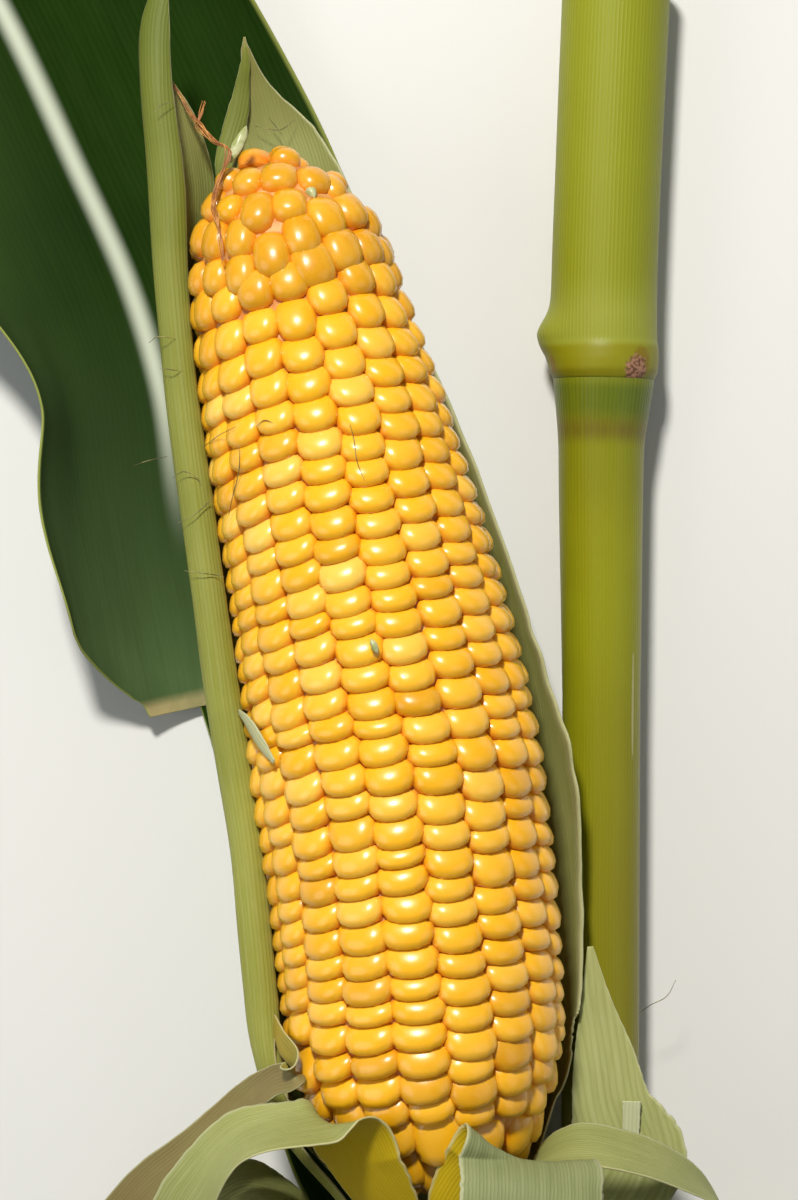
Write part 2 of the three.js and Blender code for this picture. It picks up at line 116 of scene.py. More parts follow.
def curvePoint(points, share, centripetal=True):
    last = len(points) - 1
    place = clamp(share) * last
    i = min(int(place), last - 1)
    w = place - i
    p1, p2 = points[i], points[i + 1]
    p0 = points[i - 1] if i > 0 else p1 * 2 - p2
    p3 = points[i + 2] if i + 2 <= last else p2 * 2 - p1
    if centripetal:
        d0, d1, d2 = [max((b - a).length, shortest) ** 0.5
                      for a, b in ((p0, p1), (p1, p2), (p2, p3))]
        t1 = ((p1 - p0) / d0 - (p2 - p0) / (d0 + d1) + (p2 - p1) / d1) * d1
        t2 = ((p2 - p1) / d1 - (p3 - p1) / (d1 + d2) + (p3 - p2) / d2) * d1
    else:
        t1 = (p2 - p0) * 0.5
        t2 = (p3 - p1) * 0.5
    bend = (p2 - p1) * 3 - t1 * 2 - t2
    twist = (p1 - p2) * 2 + t1 + t2
    return p1 + t1 * w + bend * (w * w) + twist * (w * w * w)


def readTable(table, place):
    if place <= table[0][0]:
        return table[0][1]
    for before, after in zip(table, table[1:]):
        if place <= after[0]:
            share = (place - before[0]) / (after[0] - before[0])
            return before[1] + (after[1] - before[1]) * share
    return table[-1][1]


def tracedLine(points, steps=lineSteps):
    places = [curvePoint(points, i / steps) for i in range(steps + 1)]
    reach = [0.0]
    for before, after in zip(places, places[1:]):
        reach.append(reach[-1] + (after - before).length)
    return {"places": places, "reach": reach, "length": reach[-1]}


def lineFrame(line, distance):
    # place, direction, side and up at a distance; the direction is read over a few steps
    places, reach = line["places"], line["reach"]
    inside = clamp(distance, 0.0, line["length"])
    i = clamp(bisect.bisect_left(reach, inside), 1, len(reach) - 1)
    share = (inside - reach[i - 1]) / (reach[i] - reach[i - 1])
    at = places[i - 1].lerp(places[i], share)
    along = (places[min(i + 3, len(places) - 1)] - places[max(i - 4, 0)]).normalized()
    side = along.cross(skyward).normalized()
    up = side.cross(along).normalized()
    return at + along * (distance - inside), along, side, up


def roundPlace(at, side, up, turn, radius):
    # turn in radians from straight up
    return at + (side * math.sin(turn) + up * math.cos(turn)) * radius


def flatLine(points, height):
    return tracedLine([Vector((x, y, height)) for x, y in points])


# shader nodes
shading = {
    "cover": 0.85, "stemSpecular": 0.3,
    "withered": {"scale": 140.0, "Low": 0.3, "High": 0.7},
    "specks": {"scale": 1500.0, "Low": 0.45, "High": 0.58},
    # factor and offset that make a mask uneven, or crumble its edge
    "uneven": (0.75, 0.25), "halfUneven": (0.5, 0.5), "crumble": (1.6, -0.8),
    "scarEdge": (1.1, 0.6), "scarDetail": 4.0, "streakRelief": {"stem": 0.4, "blade": 0.5},
    "reliefs": {"kernel": 0.0002, "blade": 0.0003, "stem": 0.0004},
}


def addNode(tree, kind, **settings):
    node = tree.nodes.new(kind)
    for key, value in settings.items():
        setattr(node, key, value)
    return node


def feed(tree, socket, value):
    # a number or colour is set on the socket, an output is linked to it
    if isinstance(value, (int, float)):
        socket.default_value = value
    elif isinstance(value, tuple):
        socket.default_value = (*value, 1.0)
    else:
        tree.links.new(value, socket)


def mathNode(tree, operation, *values):
    node = addNode(tree, "ShaderNodeMath", operation=operation)
    for socket, value in zip(node.inputs, values):
        feed(tree, socket, value)
    return node.outputs[0]


def times(tree, first, second):
    return mathNode(tree, "MULTIPLY", first, second)


def mapRange(tree, value, low, high, toHigh=1.0, smooth=True):
    node = addNode(tree, "ShaderNodeMapRange", clamp=True)
    if smooth:
        node.interpolation_type = "SMOOTHSTEP"
    for label, given in (("Value", value), ("From Min", low), ("From Max", high),
                         ("To Max", toHigh)):
        feed(tree, node.inputs[label], given)
    return node.outputs["Result"]


def noiseNode(tree, vector, scale, detail=2.0, rough=0.5):
    node = addNode(tree, "ShaderNodeTexNoise")
    for label, value in (("Vector", vector), ("Scale", scale), ("Detail", detail),
                         ("Roughness", rough)):
        feed(tree, node.inputs[label], value)
    return node.outputs["Fac"]


def flatVector(tree, x, y):
    node = addNode(tree, "ShaderNodeCombineXYZ")
    feed(tree, node.inputs["X"], x)
    feed(tree, node.inputs["Y"], y)
    return node.outputs[0]


def splitVector(tree, vector):
    node = addNode(tree, "ShaderNodeSeparateXYZ")
    tree.links.new(vector, node.inputs[0])
    return node.outputs["X"], node.outputs["Y"]


def newGroup(name, results, **inputs):
    # an input without a number is a vector
    tree = bpy.data.node_groups.new(name, "ShaderNodeTree")
    for label, value in inputs.items():
        kind = "NodeSocketVector" if value is None else "NodeSocketFloat"
        socket = tree.interface.new_socket(name=label, in_out="INPUT", socket_type=kind)
        if value is not None:
            socket.default_value = value
    for label in results:
        tree.interface.new_socket(name=label, in_out="OUTPUT", socket_type="NodeSocketFloat")
    given = addNode(tree, "NodeGroupInput").outputs
    wanted = addNode(tree, "NodeGroupOutput").inputs
    return tree, given, wanted


def fibreGroup():
    # long parallel veins that run along the second coordinate of a map in millimetres
    look = {"driftAcross": 0.35, "driftAlong": 0.03, "sharp": 2.2, "streakAcross": 0.8,
            "streakAlong": 0.05, "streakDetail": 5.0, "streakRough": 0.65,
            "streakBetween": (0.3, 0.7)}
    tree, given, wanted = newGroup("fibreLines", ("Lines", "Streaks"), Vector=None, Spacing=1.0,
                                   Waver=0.35)
    x, y = splitVector(tree, given["Vector"])
    drift = flatVector(tree, times(tree, x, look["driftAcross"]),
                       times(tree, y, look["driftAlong"]))
    wander = mathNode(tree, "SUBTRACT", noiseNode(tree, drift, 1.0), 0.5)
    moved = mathNode(tree, "ADD", x, times(tree, wander, given["Waver"]))
    turns = mathNode(tree, "DIVIDE", moved, given["Spacing"])
    wave = mathNode(tree, "SINE", times(tree, turns, fullTurn))
    lines = mathNode(tree, "POWER", mathNode(tree, "MULTIPLY_ADD", wave, 0.5, 0.5), look["sharp"])
    tree.links.new(lines, wanted["Lines"])
    fine = flatVector(tree, times(tree, turns, look["streakAcross"]),
                      times(tree, y, look["streakAlong"]))
    streaks = noiseNode(tree, fine, 1.0, look["streakDetail"], look["streakRough"])
    streaks = mapRange(tree, streaks, *look["streakBetween"], smooth=False)
    tree.links.new(streaks, wanted["Streaks"])
    return tree


def mottleGroup():
    # soft uneven patches
    tree, given, wanted = newGroup("mottling", ("Mask",), Vector=None, Scale=60.0, Low=0.38,
                                   High=0.64)
    cloud = noiseNode(tree, given["Vector"], given["Scale"], 4.0)
    tree.links.new(mapRange(tree, cloud, given["Low"], given["High"]), wanted["Mask"])
    return tree


def riseGroup():
    # mask that rises from 0 to 1 where a value goes from Low to High
    tree, given, wanted = newGroup("riseBetween", ("Mask",), Value=0.0, Low=0.0, High=1.0)
    tree.links.new(mapRange(tree, given["Value"], given["Low"], given["High"]), wanted["Mask"])
    return tree


fibreLines = fibreGroup()
mottling = mottleGroup()
riseBetween = riseGroup()


def placeGroup(tree, group, **values):
    node = addNode(tree, "ShaderNodeGroup", node_tree=group)
    for label, value in values.items():
        feed(tree, node.inputs[label], value)
    return node.outputs


def rise(tree, value, low, high):
    return placeGroup(tree, riseBetween, Value=value, Low=low, High=high)[0]


def objectPlace(tree):
    return addNode(tree, "ShaderNodeTexCoord").outputs["Object"]


def patches(tree, scale, **limits):
    return placeGroup(tree, mottling, Vector=objectPlace(tree), Scale=scale, **limits)[0]


def fibreMap(tree):
    return addNode(tree, "ShaderNodeUVMap", uv_map="fibreMap").outputs["UV"]


def fibres(tree, look):
    return placeGroup(tree, fibreLines, Vector=fibreMap(tree), Spacing=look["spacing"],
                      Waver=look["waver"])


def mixColour(tree, share, first, second):
    node = addNode(tree, "ShaderNodeMix", data_type="RGBA", blend_type="MIX")
    for number, value in ((0, share), (6, first), (7, second)):
        feed(tree, node.inputs[number], value)
    return node.outputs[2]


def tinted(tree, colour, tint, mask, share):
    return mixColour(tree, times(tree, mask, share), colour, tint)


def attribute(tree, name):
    return addNode(tree, "ShaderNodeAttribute", attribute_name=name).outputs["Fac"]


def newMaterial(name, rough, **sockets):
    made = bpy.data.materials.new(name)
    made.use_nodes = True
    surface = made.node_tree.nodes["Principled BSDF"].inputs
    surface["Roughness"].default_value = rough
    for label, value in sockets.items():
        surface[label.replace("_", " ")].default_value = value
    return made, made.node_tree, surface


def addBump(tree, surface, height, strength, kind):
    bump = addNode(tree, "ShaderNodeBump")
    bump.inputs["Strength"].default_value = strength
    bump.inputs["Distance"].default_value = shading["reliefs"][kind]
    tree.links.new(height, bump.inputs["Height"])
    tree.links.new(bump.outputs["Normal"], surface["Normal"])


def patchySkin(name, rough, scale, deep, pale):
    made, tree, surface = newMaterial(name, rough)
    feed(tree, surface["Base Color"], mixColour(tree, patches(tree, scale), deep, pale))
    return made


# pieces
def meshFrom(bm, name, materials=()):
    mesh = bpy.data.meshes.new(name)
    bm.to_mesh(mesh)
    bm.free()
    for each in materials:
        mesh.materials.append(each)
    return mesh


def finishPiece(bm, name, materials, slot, nodes=()):
    mesh = meshFrom(bm, name, materials)
    mesh.polygons.foreach_set("use_smooth", [True] * len(mesh.polygons))
    piece = addObject(name, mesh)
    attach(piece, "root")
    if nodes:
        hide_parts(*nodes)
    return piece


def addWall(piece, thickness, offset, otherSide):
    # otherSide counts on to the material of the far side and the rim
    wall = piece.modifiers.new("wall", "SOLIDIFY")
    wall.thickness = thickness * metresPerMm
    wall.offset = offset
    wall.material_offset = otherSide
    wall.material_offset_rim = otherSide


def faceOutward(bm):
    bm.normal_update()
    bmesh.ops.recalc_face_normals(bm, faces=bm.faces[:])


# ear
ear = {
    "line": [(8.8, -104.1), (7, -90), (4.5, -75.7), (3.1, -56.8), (-0.7, -27.5), (-5.5, 0),
             (-12.4, 29.2), (-18.9, 58.5), (-20.3, 74), (-19.6, 79.1)],
    "height": 33.0,
    "outline": [(0, 0), (0.4, 5.6), (3.4, 10.8), (7.8, 14.8), (14.7, 19.6), (20.8, 22.5),
                (28.6, 24.2), (47.6, 24.8), (77, 25.4), (105, 23.6), (135, 21.4), (165, 18),
                (173, 15.8), (180.4, 11.2), (183.8, 7.2), (185.2, 3.6), (185.7, 0)],
    "seed": 41,
    "rows": 18,
    # distance from the base, then the turn of the top row, or the angle between upper rows
    "turn": [(26, -2), (38, -1.5), (50, -3.7), (62, -2.8), (74, -2.5), (86, -4.8), (92, -6.5),
             (104, -7.8), (116, -7.5), (128, -5.8), (140, -3), (152, -2.7), (164, -1)],
    "step": [(26, 21.8), (38, 21.5), (50, 20.3), (62, 19.6), (86, 19.6), (104, 20), (116, 20.2),
             (128, 20.8), (140, 21.1), (164, 21.3)],
    "upperRows": 4,
    # creases between the kernels of the rows that face up, distances from the base
    "creases": {
        -2: [16.3, 22, 26.3, 30.1, 34.8, 38.6, 42.5, 46.5, 51.4, 56, 60.5, 64.2, 69.2, 73.8, 78.4,
             83.3, 86.7, 91.6, 96.4, 100.7, 105.4, 109.4, 114.4, 118.2, 122.8, 127.2, 131.8, 136.2,
             141.1, 145.8, 151, 156.6, 162.2, 167.4],
        -1: [12.9, 17.6, 21.8, 26.2, 30, 34.5, 38, 42.5, 47.1, 52, 56.4, 60.4, 64.9, 70.2, 74.4,
             78.9, 83.7, 87.7, 92.2, 97, 101.6, 105.3, 110, 114.5, 118.9, 123.6, 128, 132.2, 136.8,
             141.5, 146.6, 151.9, 157.2, 163.6],
        0: [9.8, 16.9, 21, 25.7, 30.3, 34.7, 38.6, 42.6, 47.4, 51.8, 56.5, 60.8, 64.2, 69.1, 73.6,
            78.4, 82.9, 86.3, 91.1, 95.4, 100.1, 103.9, 108.5, 113.1, 117.3, 122.1, 126.5, 130.8,
            135.6, 140.6, 145.9, 151.1, 157.6, 164],
        1: [10.1, 14.7, 18.5, 23.3, 27.8, 32.9, 37.4, 41.9, 45.9, 50.4, 54.3, 58.4, 63.1, 67.3,
            72.3, 77, 80.9, 85.5, 89.9, 94.4, 98.9, 103.1, 106.9, 111.1, 115.7, 120, 124.4, 128.8,
            133.4, 138.4, 143.2, 148.3, 154, 160, 167.1],
        2: [10.6, 15, 19.1, 24.1, 30.1, 34.8, 38.9, 43.2, 47.2, 51.4, 55.8, 61.3, 65.2, 70.1, 75.4,
            80.9, 85.8, 90.7, 95.4, 99.3, 104, 107.7, 112.1, 116.7, 121.2, 125.9, 131, 135.7,
            140.3, 145.3, 150.6, 156.2, 162.4, 169.4],
        3: [13.9, 19.2, 24.2, 30.8, 35.9, 39.9, 44.3, 48.1, 52.4, 56.3, 61, 65.9, 69.5, 74.5, 79.3,
            82.9, 86.9, 91.5, 95.7, 100.1, 104.5, 108.3, 112.1, 116.4, 121, 125.8, 130.4, 135,
            140.2, 144.8, 149.8, 155.6, 162.1, 169],
    },
    # rows without creases of their own take those of another row, moved by up to rowShift
    "rowShift": 1.8,
    "rowsFrom": 15.4,
    "rowsTo": 162.0,
    # loose kernels on the upper side of both ends: distance from the base, turn in degrees,
    # width, length
    "looseKernels": [
        (15.2, -25, 7.6, 6.6), (14.1, -1, 9, 8.6), (9, -27, 6.6, 6.8), (6.8, -6, 7.4, 6.8),
        (4.9, -36, 4.4, 3.6), (11.9, 26, 8.4, 5.8), (11.3, 57, 7.2, 6.2), (12.4, 82, 6.4, 6.4),
        (14.2, -54, 7, 6), (9.2, -60, 6.4, 6), (12.8, -80, 6.4, 6), (5.6, 27, 6.4, 6),
        (5.4, 58, 5.8, 5.8), (8.2, 84, 6.8, 6.4), (4, 86, 5.4, 5), (162.6, 15, 7.8, 7.8),
        (179.8, -62, 5, 4.8), (185.2, 178, 3.6, 2), (183.4, 152, 4, 3), (183.4, -152, 4, 3),
        (183.8, 9, 5.6, 4.6), (179.2, -31, 6, 5.4), (180, 0, 6.6, 6.3), (179, 33, 6, 5.6),
        (177.4, 52, 4.8, 5.4), (176, -67, 5.2, 6), (174.8, -42, 5.2, 5.4), (173.6, -17, 6, 7.2),
        (174.4, 6, 6.3, 6.2), (171.3, 31, 7.4, 7.6), (172.6, 56, 7, 6.8), (170, 76, 6.5, 6.4),
        (171, -76, 6, 6.6), (169.8, -53, 5.8, 7.2), (169.3, -30, 5.9, 7.2), (165.7, -10, 6.7, 7.9),
        (168.4, 11, 6.9, 7.9), (164.6, 36, 7.3, 7.4), (165, 58, 6.8, 6.8), (163.9, 77, 6.8, 6.4),
        (164.4, -74, 6, 6.2), (163.9, -51, 6, 6.2), (163.3, -31, 6, 7),
    ],
    # small rings at both ends: distance from the base, kernels, their length
    "endRings": [(2.8, 7, 5.2), (7.8, 11, 5.6), (13, 15, 5.6), (165, 16, 5.8), (170.2, 14, 5.6),
                 (175.4, 12, 5.4), (180.2, 9, 5), (183.8, 6, 4.6)],
    # they are left out where the cosine of their turn is above this, by distance
    "ringsBelow": [(175, 0.1), (175.1, -0.25)],
    "slopeReach": 2.5,
    "thinnest": 4.0,
}
earLine = flatLine(ear["line"], ear["height"])


def earRadius(distance):
    return readTable(ear["outline"], distance)


def kernelPlaces():
    # distance along the ear, turn round it, length of the kernel and angle to the next row
    deal = random.Random(ear["seed"])
    lists, wide = ear["creases"], ear["upperRows"]
    half = ear["rows"] // 2
    for n in range(1 - half, half + 1):
        source = n if n in lists else (n + 2) % len(lists) - 2
        shift = 0.0 if n in lists else deal.uniform(-ear["rowShift"], ear["rowShift"])
        for low, high in zip(lists[source], lists[source][1:]):
            distance = (low + high) / 2 + shift
            if not ear["rowsFrom"] < distance < ear["rowsTo"]:
                continue
            top = math.radians(readTable(ear["turn"], distance))
            step = math.radians(readTable(ear["step"], distance))
            rest = (fullTurn - 2 * wide * step) / (ear["rows"] - 2 * wide)
            beyond = max(abs(n) - wide, 0)
            turn = top + math.copysign(min(abs(n), wide) * step + beyond * rest, n)
            yield distance, turn, high - low, rest if beyond else step
    for distance, turn, width, length in ear["looseKernels"]:
        yield (distance, math.radians(turn), length,
               width / max(earRadius(distance), ear["thinnest"]))
    for distance, count, length in ear["endRings"]:
        first = deal.uniform(0, fullTurn)
        for i in range(count):
            turn = first + fullTurn * i / count
            if math.cos(turn) < readTable(ear["ringsBelow"], distance):
                yield distance, turn, length, fullTurn / count


def skinFrame(distance, turn):
    # place on the ear, across, along its skin and out; turn in radians, towards the stalk
    at, along, side, up = lineFrame(earLine, distance)
    radial = side * math.sin(turn) + up * math.cos(turn)
    low = max(distance - ear["slopeReach"], 0.0)
    high = min(distance + ear["slopeReach"], earLine["length"])
    slope = (earRadius(high) - earRadius(low)) / max(high - low, 0.5)
    across = side * math.cos(turn) - up * math.sin(turn)
    skin = (along + radial * slope).normalized()
    out = (radial - along * slope).normalized()
    return at + radial * earRadius(distance), across, skin, out


kernel = {
    "depth": 3.4, "roundness": 2.7, "cutAt": -0.12, "tilt": 0.3, "tiltFrom": 0.6, "sag": 0.5,
    # shares of its place that a kernel fills, and what is taken off towards the tip
    "wide": 1.07, "tipWide": 0.05, "long": 0.67, "tipLong": 0.12,
    "widest": 9.0, "endStep": 1.6, "endWidest": 3.6, "lastRadius": 184.5,
    # the tip and the base grow into their look between these distances
    "tip": (148, 164), "tipFlatter": 0.7, "base": (75, 25),
    # how far each one strays
    "stray": 0.1, "twist": 0.012, "vary": 0.03, "lift": 0.12, "lean": 0.05,
    "depths": (0.93, 1.04), "tiltVary": 0.2,
    # tone from 0, deep, to 1, pale
    "tone": 0.53, "toneSpread": 0.12, "tipDeeper": 0.38, "baseDeeper": 0.12, "baseEvener": 0.04,
}


def kernelTemplate():
    # a cube turned into a rounded block, with its hidden foot cut off
    bm = bmesh.new()
    bmesh.ops.create_cube(bm, size=2.0)
    bmesh.ops.subdivide_edges(bm, edges=bm.edges[:], cuts=3, use_grid_fill=True)
    power = kernel["roundness"]
    for vert in bm.verts:
        vert.co = Vector([math.tan(part * math.pi / 4) for part in vert.co])
        vert.co /= sum(abs(part) ** power for part in vert.co) ** (1 / power)
    bmesh.ops.bisect_plane(bm, geom=bm.verts[:] + bm.edges[:] + bm.faces[:],
                           plane_co=(0, 0, kernel["cutAt"]), plane_no=(0, 0, -1),
                           clear_outer=True)
    bmesh.ops.holes_fill(bm, edges=[edge for edge in bm.edges if edge.is_boundary], sides=0)
    bmesh.ops.recalc_face_normals(bm, faces=bm.faces[:])
    return meshFrom(bm, "kernelTemplate")


def makeKernels():
    deal = random.Random(ear["seed"] + 1)

    def near(middle, span):
        return deal.uniform(middle - span, middle + span)

    template = kernelTemplate()
    shape = [vert.co.copy() for vert in template.vertices]
    bm = bmesh.new()
    tone = bm.verts.layers.float.new("tone")
    crown = bm.verts.layers.float.new("crown")
    places = list(kernelPlaces())
    for distance, turn, length, step in places:
        distance += near(0, kernel["stray"])
        turn += near(0, kernel["twist"])
        at, across, skin, out = skinFrame(distance, turn)
        radius = max(earRadius(min(distance, kernel["lastRadius"])), ear["thinnest"])
        tipward = shareBetween(distance, kernel["tip"])
        baseward = shareBetween(distance, kernel["base"])
        widest = kernel["endWidest"] if step > kernel["endStep"] else kernel["widest"]
        fill = kernel["wide"] - kernel["tipWide"] * tipward
        halfWidth = min(radius * step / 2, widest) * fill * near(1, kernel["vary"])
        fill = kernel["long"] - kernel["tipLong"] * tipward
        halfLength = length * fill * near(1, kernel["vary"])
        depth = kernel["depth"] * deal.uniform(*kernel["depths"])
        tilt = kernel["tilt"] * (1 - kernel["tipFlatter"] * tipward) * near(1, kernel["tiltVary"])
        sag = kernel["sag"] * (1 - tipward)
        lift = near(0, kernel["lift"])
        lean = near(0, kernel["lean"])
        hue = deal.gauss(kernel["tone"], kernel["toneSpread"] - kernel["baseEvener"] * baseward)
        hue = clamp(hue - kernel["tipDeeper"] * tipward - kernel["baseDeeper"] * baseward)
        bm.from_mesh(template)
        bm.verts.ensure_lookup_table()
        for vert, (x, y, z) in zip(bm.verts[-len(shape):], shape):
            wide = x * halfWidth
            long = y * halfLength - sag * (1 - x * x) + lean * wide
            high = (z - 1) * depth + lift - tilt * (long + kernel["tiltFrom"])
            vert.co = toFrame(at + across * wide + skin * long + out * high)
            vert[tone] = hue
            vert[crown] = z
    bpy.data.meshes.remove(template)
    print("kernels:", len(places))
    finishPiece(bm, "kernels", [kernelSkin()], "kernels", ["ear"])


def kernelSkin():
    # crease is painted shade and warm bounce light between the kernels, a deeper orange-red than
    # the kernel itself
    look = {"deep": (0.62, 0.285, 0.002), "gold": (0.86, 0.43, 0.008), "pale": (0.88, 0.53, 0.08),
            "crease": (0.72, 0.22, 0.006), "rough": 0.3, "patch": 260.0, "patchShare": 0.18,
            "grain": 900.0, "relief": 0.08, "goldRise": (0.1, 0.55), "paleRise": (0.5, 0.95),
            "creaseShadeRise": (0.2, 0.72)}
    made, tree, surface = newMaterial(
        "kernelSkin", look["rough"], Coat_Weight=0.3, Coat_Roughness=0.1, Subsurface_Weight=0.08,
        Subsurface_Scale=0.002, Subsurface_Radius=(1.0, 0.45, 0.08))
    tone = attribute(tree, "tone")
    colour = mixColour(tree, rise(tree, tone, *look["goldRise"]), look["deep"], look["gold"])
    colour = mixColour(tree, rise(tree, tone, *look["paleRise"]), colour, look["pale"])
    # painted shade: where the crown is low, in the creases, the colour turns to the crease colour
    clearOfCreaseShade = rise(tree, attribute(tree, "crown"), *look["creaseShadeRise"])
    colour = mixColour(tree, clearOfCreaseShade, look["crease"], colour)
    colour = tinted(tree, colour, look["pale"], patches(tree, look["patch"]), look["patchShare"])
    feed(tree, surface["Base Color"], colour)
    grain = noiseNode(tree, objectPlace(tree), look["grain"])
    addBump(tree, surface, grain, look["relief"], "kernel")
    return made


def makeCob():
    # what shows between the kernels
    look = {"deep": (0.50, 0.18, 0.03), "pale": (0.60, 0.32, 0.10), "patch": 500.0, "rough": 0.6,
            "below": 2.3, "from": 3.0, "shorter": 7.0}
    bm = bmesh.new()
    bmesh.ops.create_uvsphere(bm, u_segments=32, v_segments=60, radius=1.0)
    for vert in bm.verts:
        turn = math.atan2(vert.co.x, vert.co.y)
        share = math.acos(clamp(-vert.co.z, -1.0, 1.0)) / math.pi
        distance = look["from"] + share * (earLine["length"] - look["shorter"])
        at, along, side, up = lineFrame(earLine, distance)
        radius = max(earRadius(distance) - look["below"], 0.0)
        vert.co = toFrame(roundPlace(at, side, up, turn, radius))
    bmesh.ops.remove_doubles(bm, verts=bm.verts[:], dist=1e-6)
    faceOutward(bm)
    skin = patchySkin("cobSkin", look["rough"], look["patch"], look["deep"], look["pale"])
    finishPiece(bm, "cob", [skin], "kernels")


# stalk
stalk = {
    "line": [(36.2, -185), (35.9, -150), (35.7, -78), (35.9, -18), (35.9, 26.6), (36.3, 38.7),
             (36.4, 55.6), (38.5, 106.5), (38.8, 112)],
    "height": 10.6,
    # radius by height in the picture
    "outline": [(-185, 8), (-160, 8.1), (-154, 8.3), (-150, 8.7), (-146, 8.2), (-140, 7.3),
                (-120, 6.9), (-18, 6.9), (26.6, 7.6), (30, 7.85), (33.5, 8.3), (36.5, 8.65),
                (38, 8.85), (38.9, 8.98), (40, 8.8), (43, 8.4), (112, 8.6)],
    "foot": -185.0, "around": 96, "rows": 220,
}
upperSheath = {
    "outline": [(38.9, 8.85), (39.6, 9.15), (40.5, 9.55), (42.5, 9.75), (44.6, 9.7), (46, 9.45),
                (49, 9.45), (56, 9.4), (76, 9.4), (94, 9.5), (112, 9.6)],
    "from": 38.9, "wall": 0.6, "around": 96, "rows": 150,
    "bud": {"at": 47.0, "spread": 3.4, "reach": 2.4, "narrow": 6},
}
stalkLine = flatLine(stalk["line"], stalk["height"])
mapWidth = 9.0  # millimetres of the fibre map to a radian


def stemShell(line, shape, low=0.0, start=0.0, capped=True):
    # a round stem along a line from the distance low; places are distances plus start
    bm = bmesh.new()
    bmesh.ops.create_cone(bm, cap_ends=True, segments=shape["around"], radius1=1.0, radius2=1.0,
                          depth=1.0)
    uprights = [edge for edge in bm.edges
                if abs(edge.verts[0].co.z - edge.verts[1].co.z) > 0.5]
    bmesh.ops.subdivide_edges(bm, edges=uprights, cuts=shape["rows"] - 1,
                               use_grid_fill=True)
    uvs = bm.loops.layers.uv.new("fibreMap")
    alongLayer = bm.verts.layers.float.new("alongStem")
    turnLayer = bm.verts.layers.float.new("roundStem")
    spots = {}
    for vert in bm.verts:
        turn = math.atan2(vert.co.x, vert.co.y)
        distance = low + (vert.co.z + 0.5) * (line["length"] - low)
        at, along, side, up = lineFrame(line, distance)
        spots[vert.index] = (turn, distance)
        vert[alongLayer] = place = distance + start
        vert[turnLayer] = turn
        radius = readTable(shape["outline"], place)
        if "bud" in shape:
            bud = shape["bud"]
            nearBud = math.exp(-((place - bud["at"]) / bud["spread"]) ** 2)
            radius += bud["reach"] * max(0.0, -math.sin(turn)) ** bud["narrow"] * nearBud
        vert.co = toFrame(roundPlace(at, side, up, turn, radius))
    bm.verts.index_update()
    for face in bm.faces:
        turns = [spots[loop.vert.index][0] for loop in face.loops]
        wraps = max(turns) - min(turns) > math.pi
        for loop, turn in zip(face.loops, turns):
            unrolled = turn + fullTurn if wraps and turn < 0 else turn
            loop[uvs].uv = (unrolled * mapWidth, spots[loop.vert.index][1])
        if len(face.verts) > 4:
            face.material_index = 1
    faceOutward(bm)
    if not capped:
        caps = [face for face in bm.faces if len(face.verts) > 4]
        bmesh.ops.delete(bm, geom=caps, context="FACES_ONLY")
    return bm


def stemSkin(name, look):
    # ribbed green stem whose colour changes along it
    made, tree, surface = newMaterial(name, look["rough"],
                                      Specular_IOR_Level=shading["stemSpecular"])
    ribs = fibres(tree, look)
    place = attribute(tree, "alongStem")
    ribbed = rise(tree, place, *look.get("ribsFrom", (-400, -399)))
    lines = times(tree, ribs["Lines"], ribbed)
    colour = look["base"]
    for low, high, band in look.get("bands", []):
        colour = mixColour(tree, rise(tree, place, low, high), colour, band)
    for mask, label in ((patches(tree, look["patch"]), "patch"), (lines, "line"),
                        (ribs["Streaks"], "streak")):
        share, tone = look[label + "Tone"]
        colour = tinted(tree, colour, tone, mask, share)
    for tint in look.get("tints", []):
        away = mathNode(tree, "ABSOLUTE", mathNode(tree, "SUBTRACT", place, tint["at"]))
        near = mapRange(tree, away, tint["tall"], 0.0, tint["share"])
        uneven = mathNode(tree, "MULTIPLY_ADD", ribs["Streaks"], *shading["uneven"])
        colour = tinted(tree, colour, tint["colour"], near, uneven)
    # spots are real scars, and on the stalk a painted highlight streak
    for spot in look.get("scarsAndGlints", []):
        spotColour = spot["colour"]
        if "speck" in spot:
            spotColour = mixColour(tree, patches(tree, **shading["specks"]), spotColour, spot["speck"])
        colour = mixColour(tree, scarAndGlintMask(tree, place, spot), colour, spotColour)
    feed(tree, surface["Base Color"], colour)
    height = mathNode(tree, "MULTIPLY_ADD", times(tree, ribs["Streaks"], ribbed),
                      shading["streakRelief"]["stem"], lines)
    addBump(tree, surface, height, look["relief"], "stem")
    return made


def scarAndGlintMask(tree, place, spot):
    # soft spot at a distance along the stem and a turn round it, with a crumbled edge
    square = 0.0
    for value, middle, reach in ((place, spot["at"], spot["tall"]),
                                 (attribute(tree, "roundStem"), spot["turn"], spot["wide"])):
        away = mathNode(tree, "DIVIDE", mathNode(tree, "SUBTRACT", value, middle), reach)
        square = mathNode(tree, "MULTIPLY_ADD", away, away, square)
    crumble = noiseNode(tree, objectPlace(tree), spot["grain"], shading["scarDetail"])
    crumble = mathNode(tree, "MULTIPLY_ADD", crumble, *shading["crumble"])
    edge = mathNode(tree, "ADD", square, crumble)
    return times(tree, mapRange(tree, edge, *shading["scarEdge"]), spot["share"])


def pithSkin():
    look = {"pale": (0.72, 0.74, 0.50), "wet": (0.48, 0.55, 0.24), "grain": 900.0, "rough": 0.55,
            "dots": (0.12, 0.3)}
    made, tree, surface = newMaterial("cutPith", look["rough"])
    dots = addNode(tree, "ShaderNodeTexVoronoi", feature="F1")
    dots.inputs["Scale"].default_value = look["grain"]
    tree.links.new(objectPlace(tree), dots.inputs["Vector"])
    ring = mapRange(tree, dots.outputs["Distance"], *look["dots"], smooth=False)
    feed(tree, surface["Base Color"], mixColour(tree, ring, look["wet"], look["pale"]))
    return made


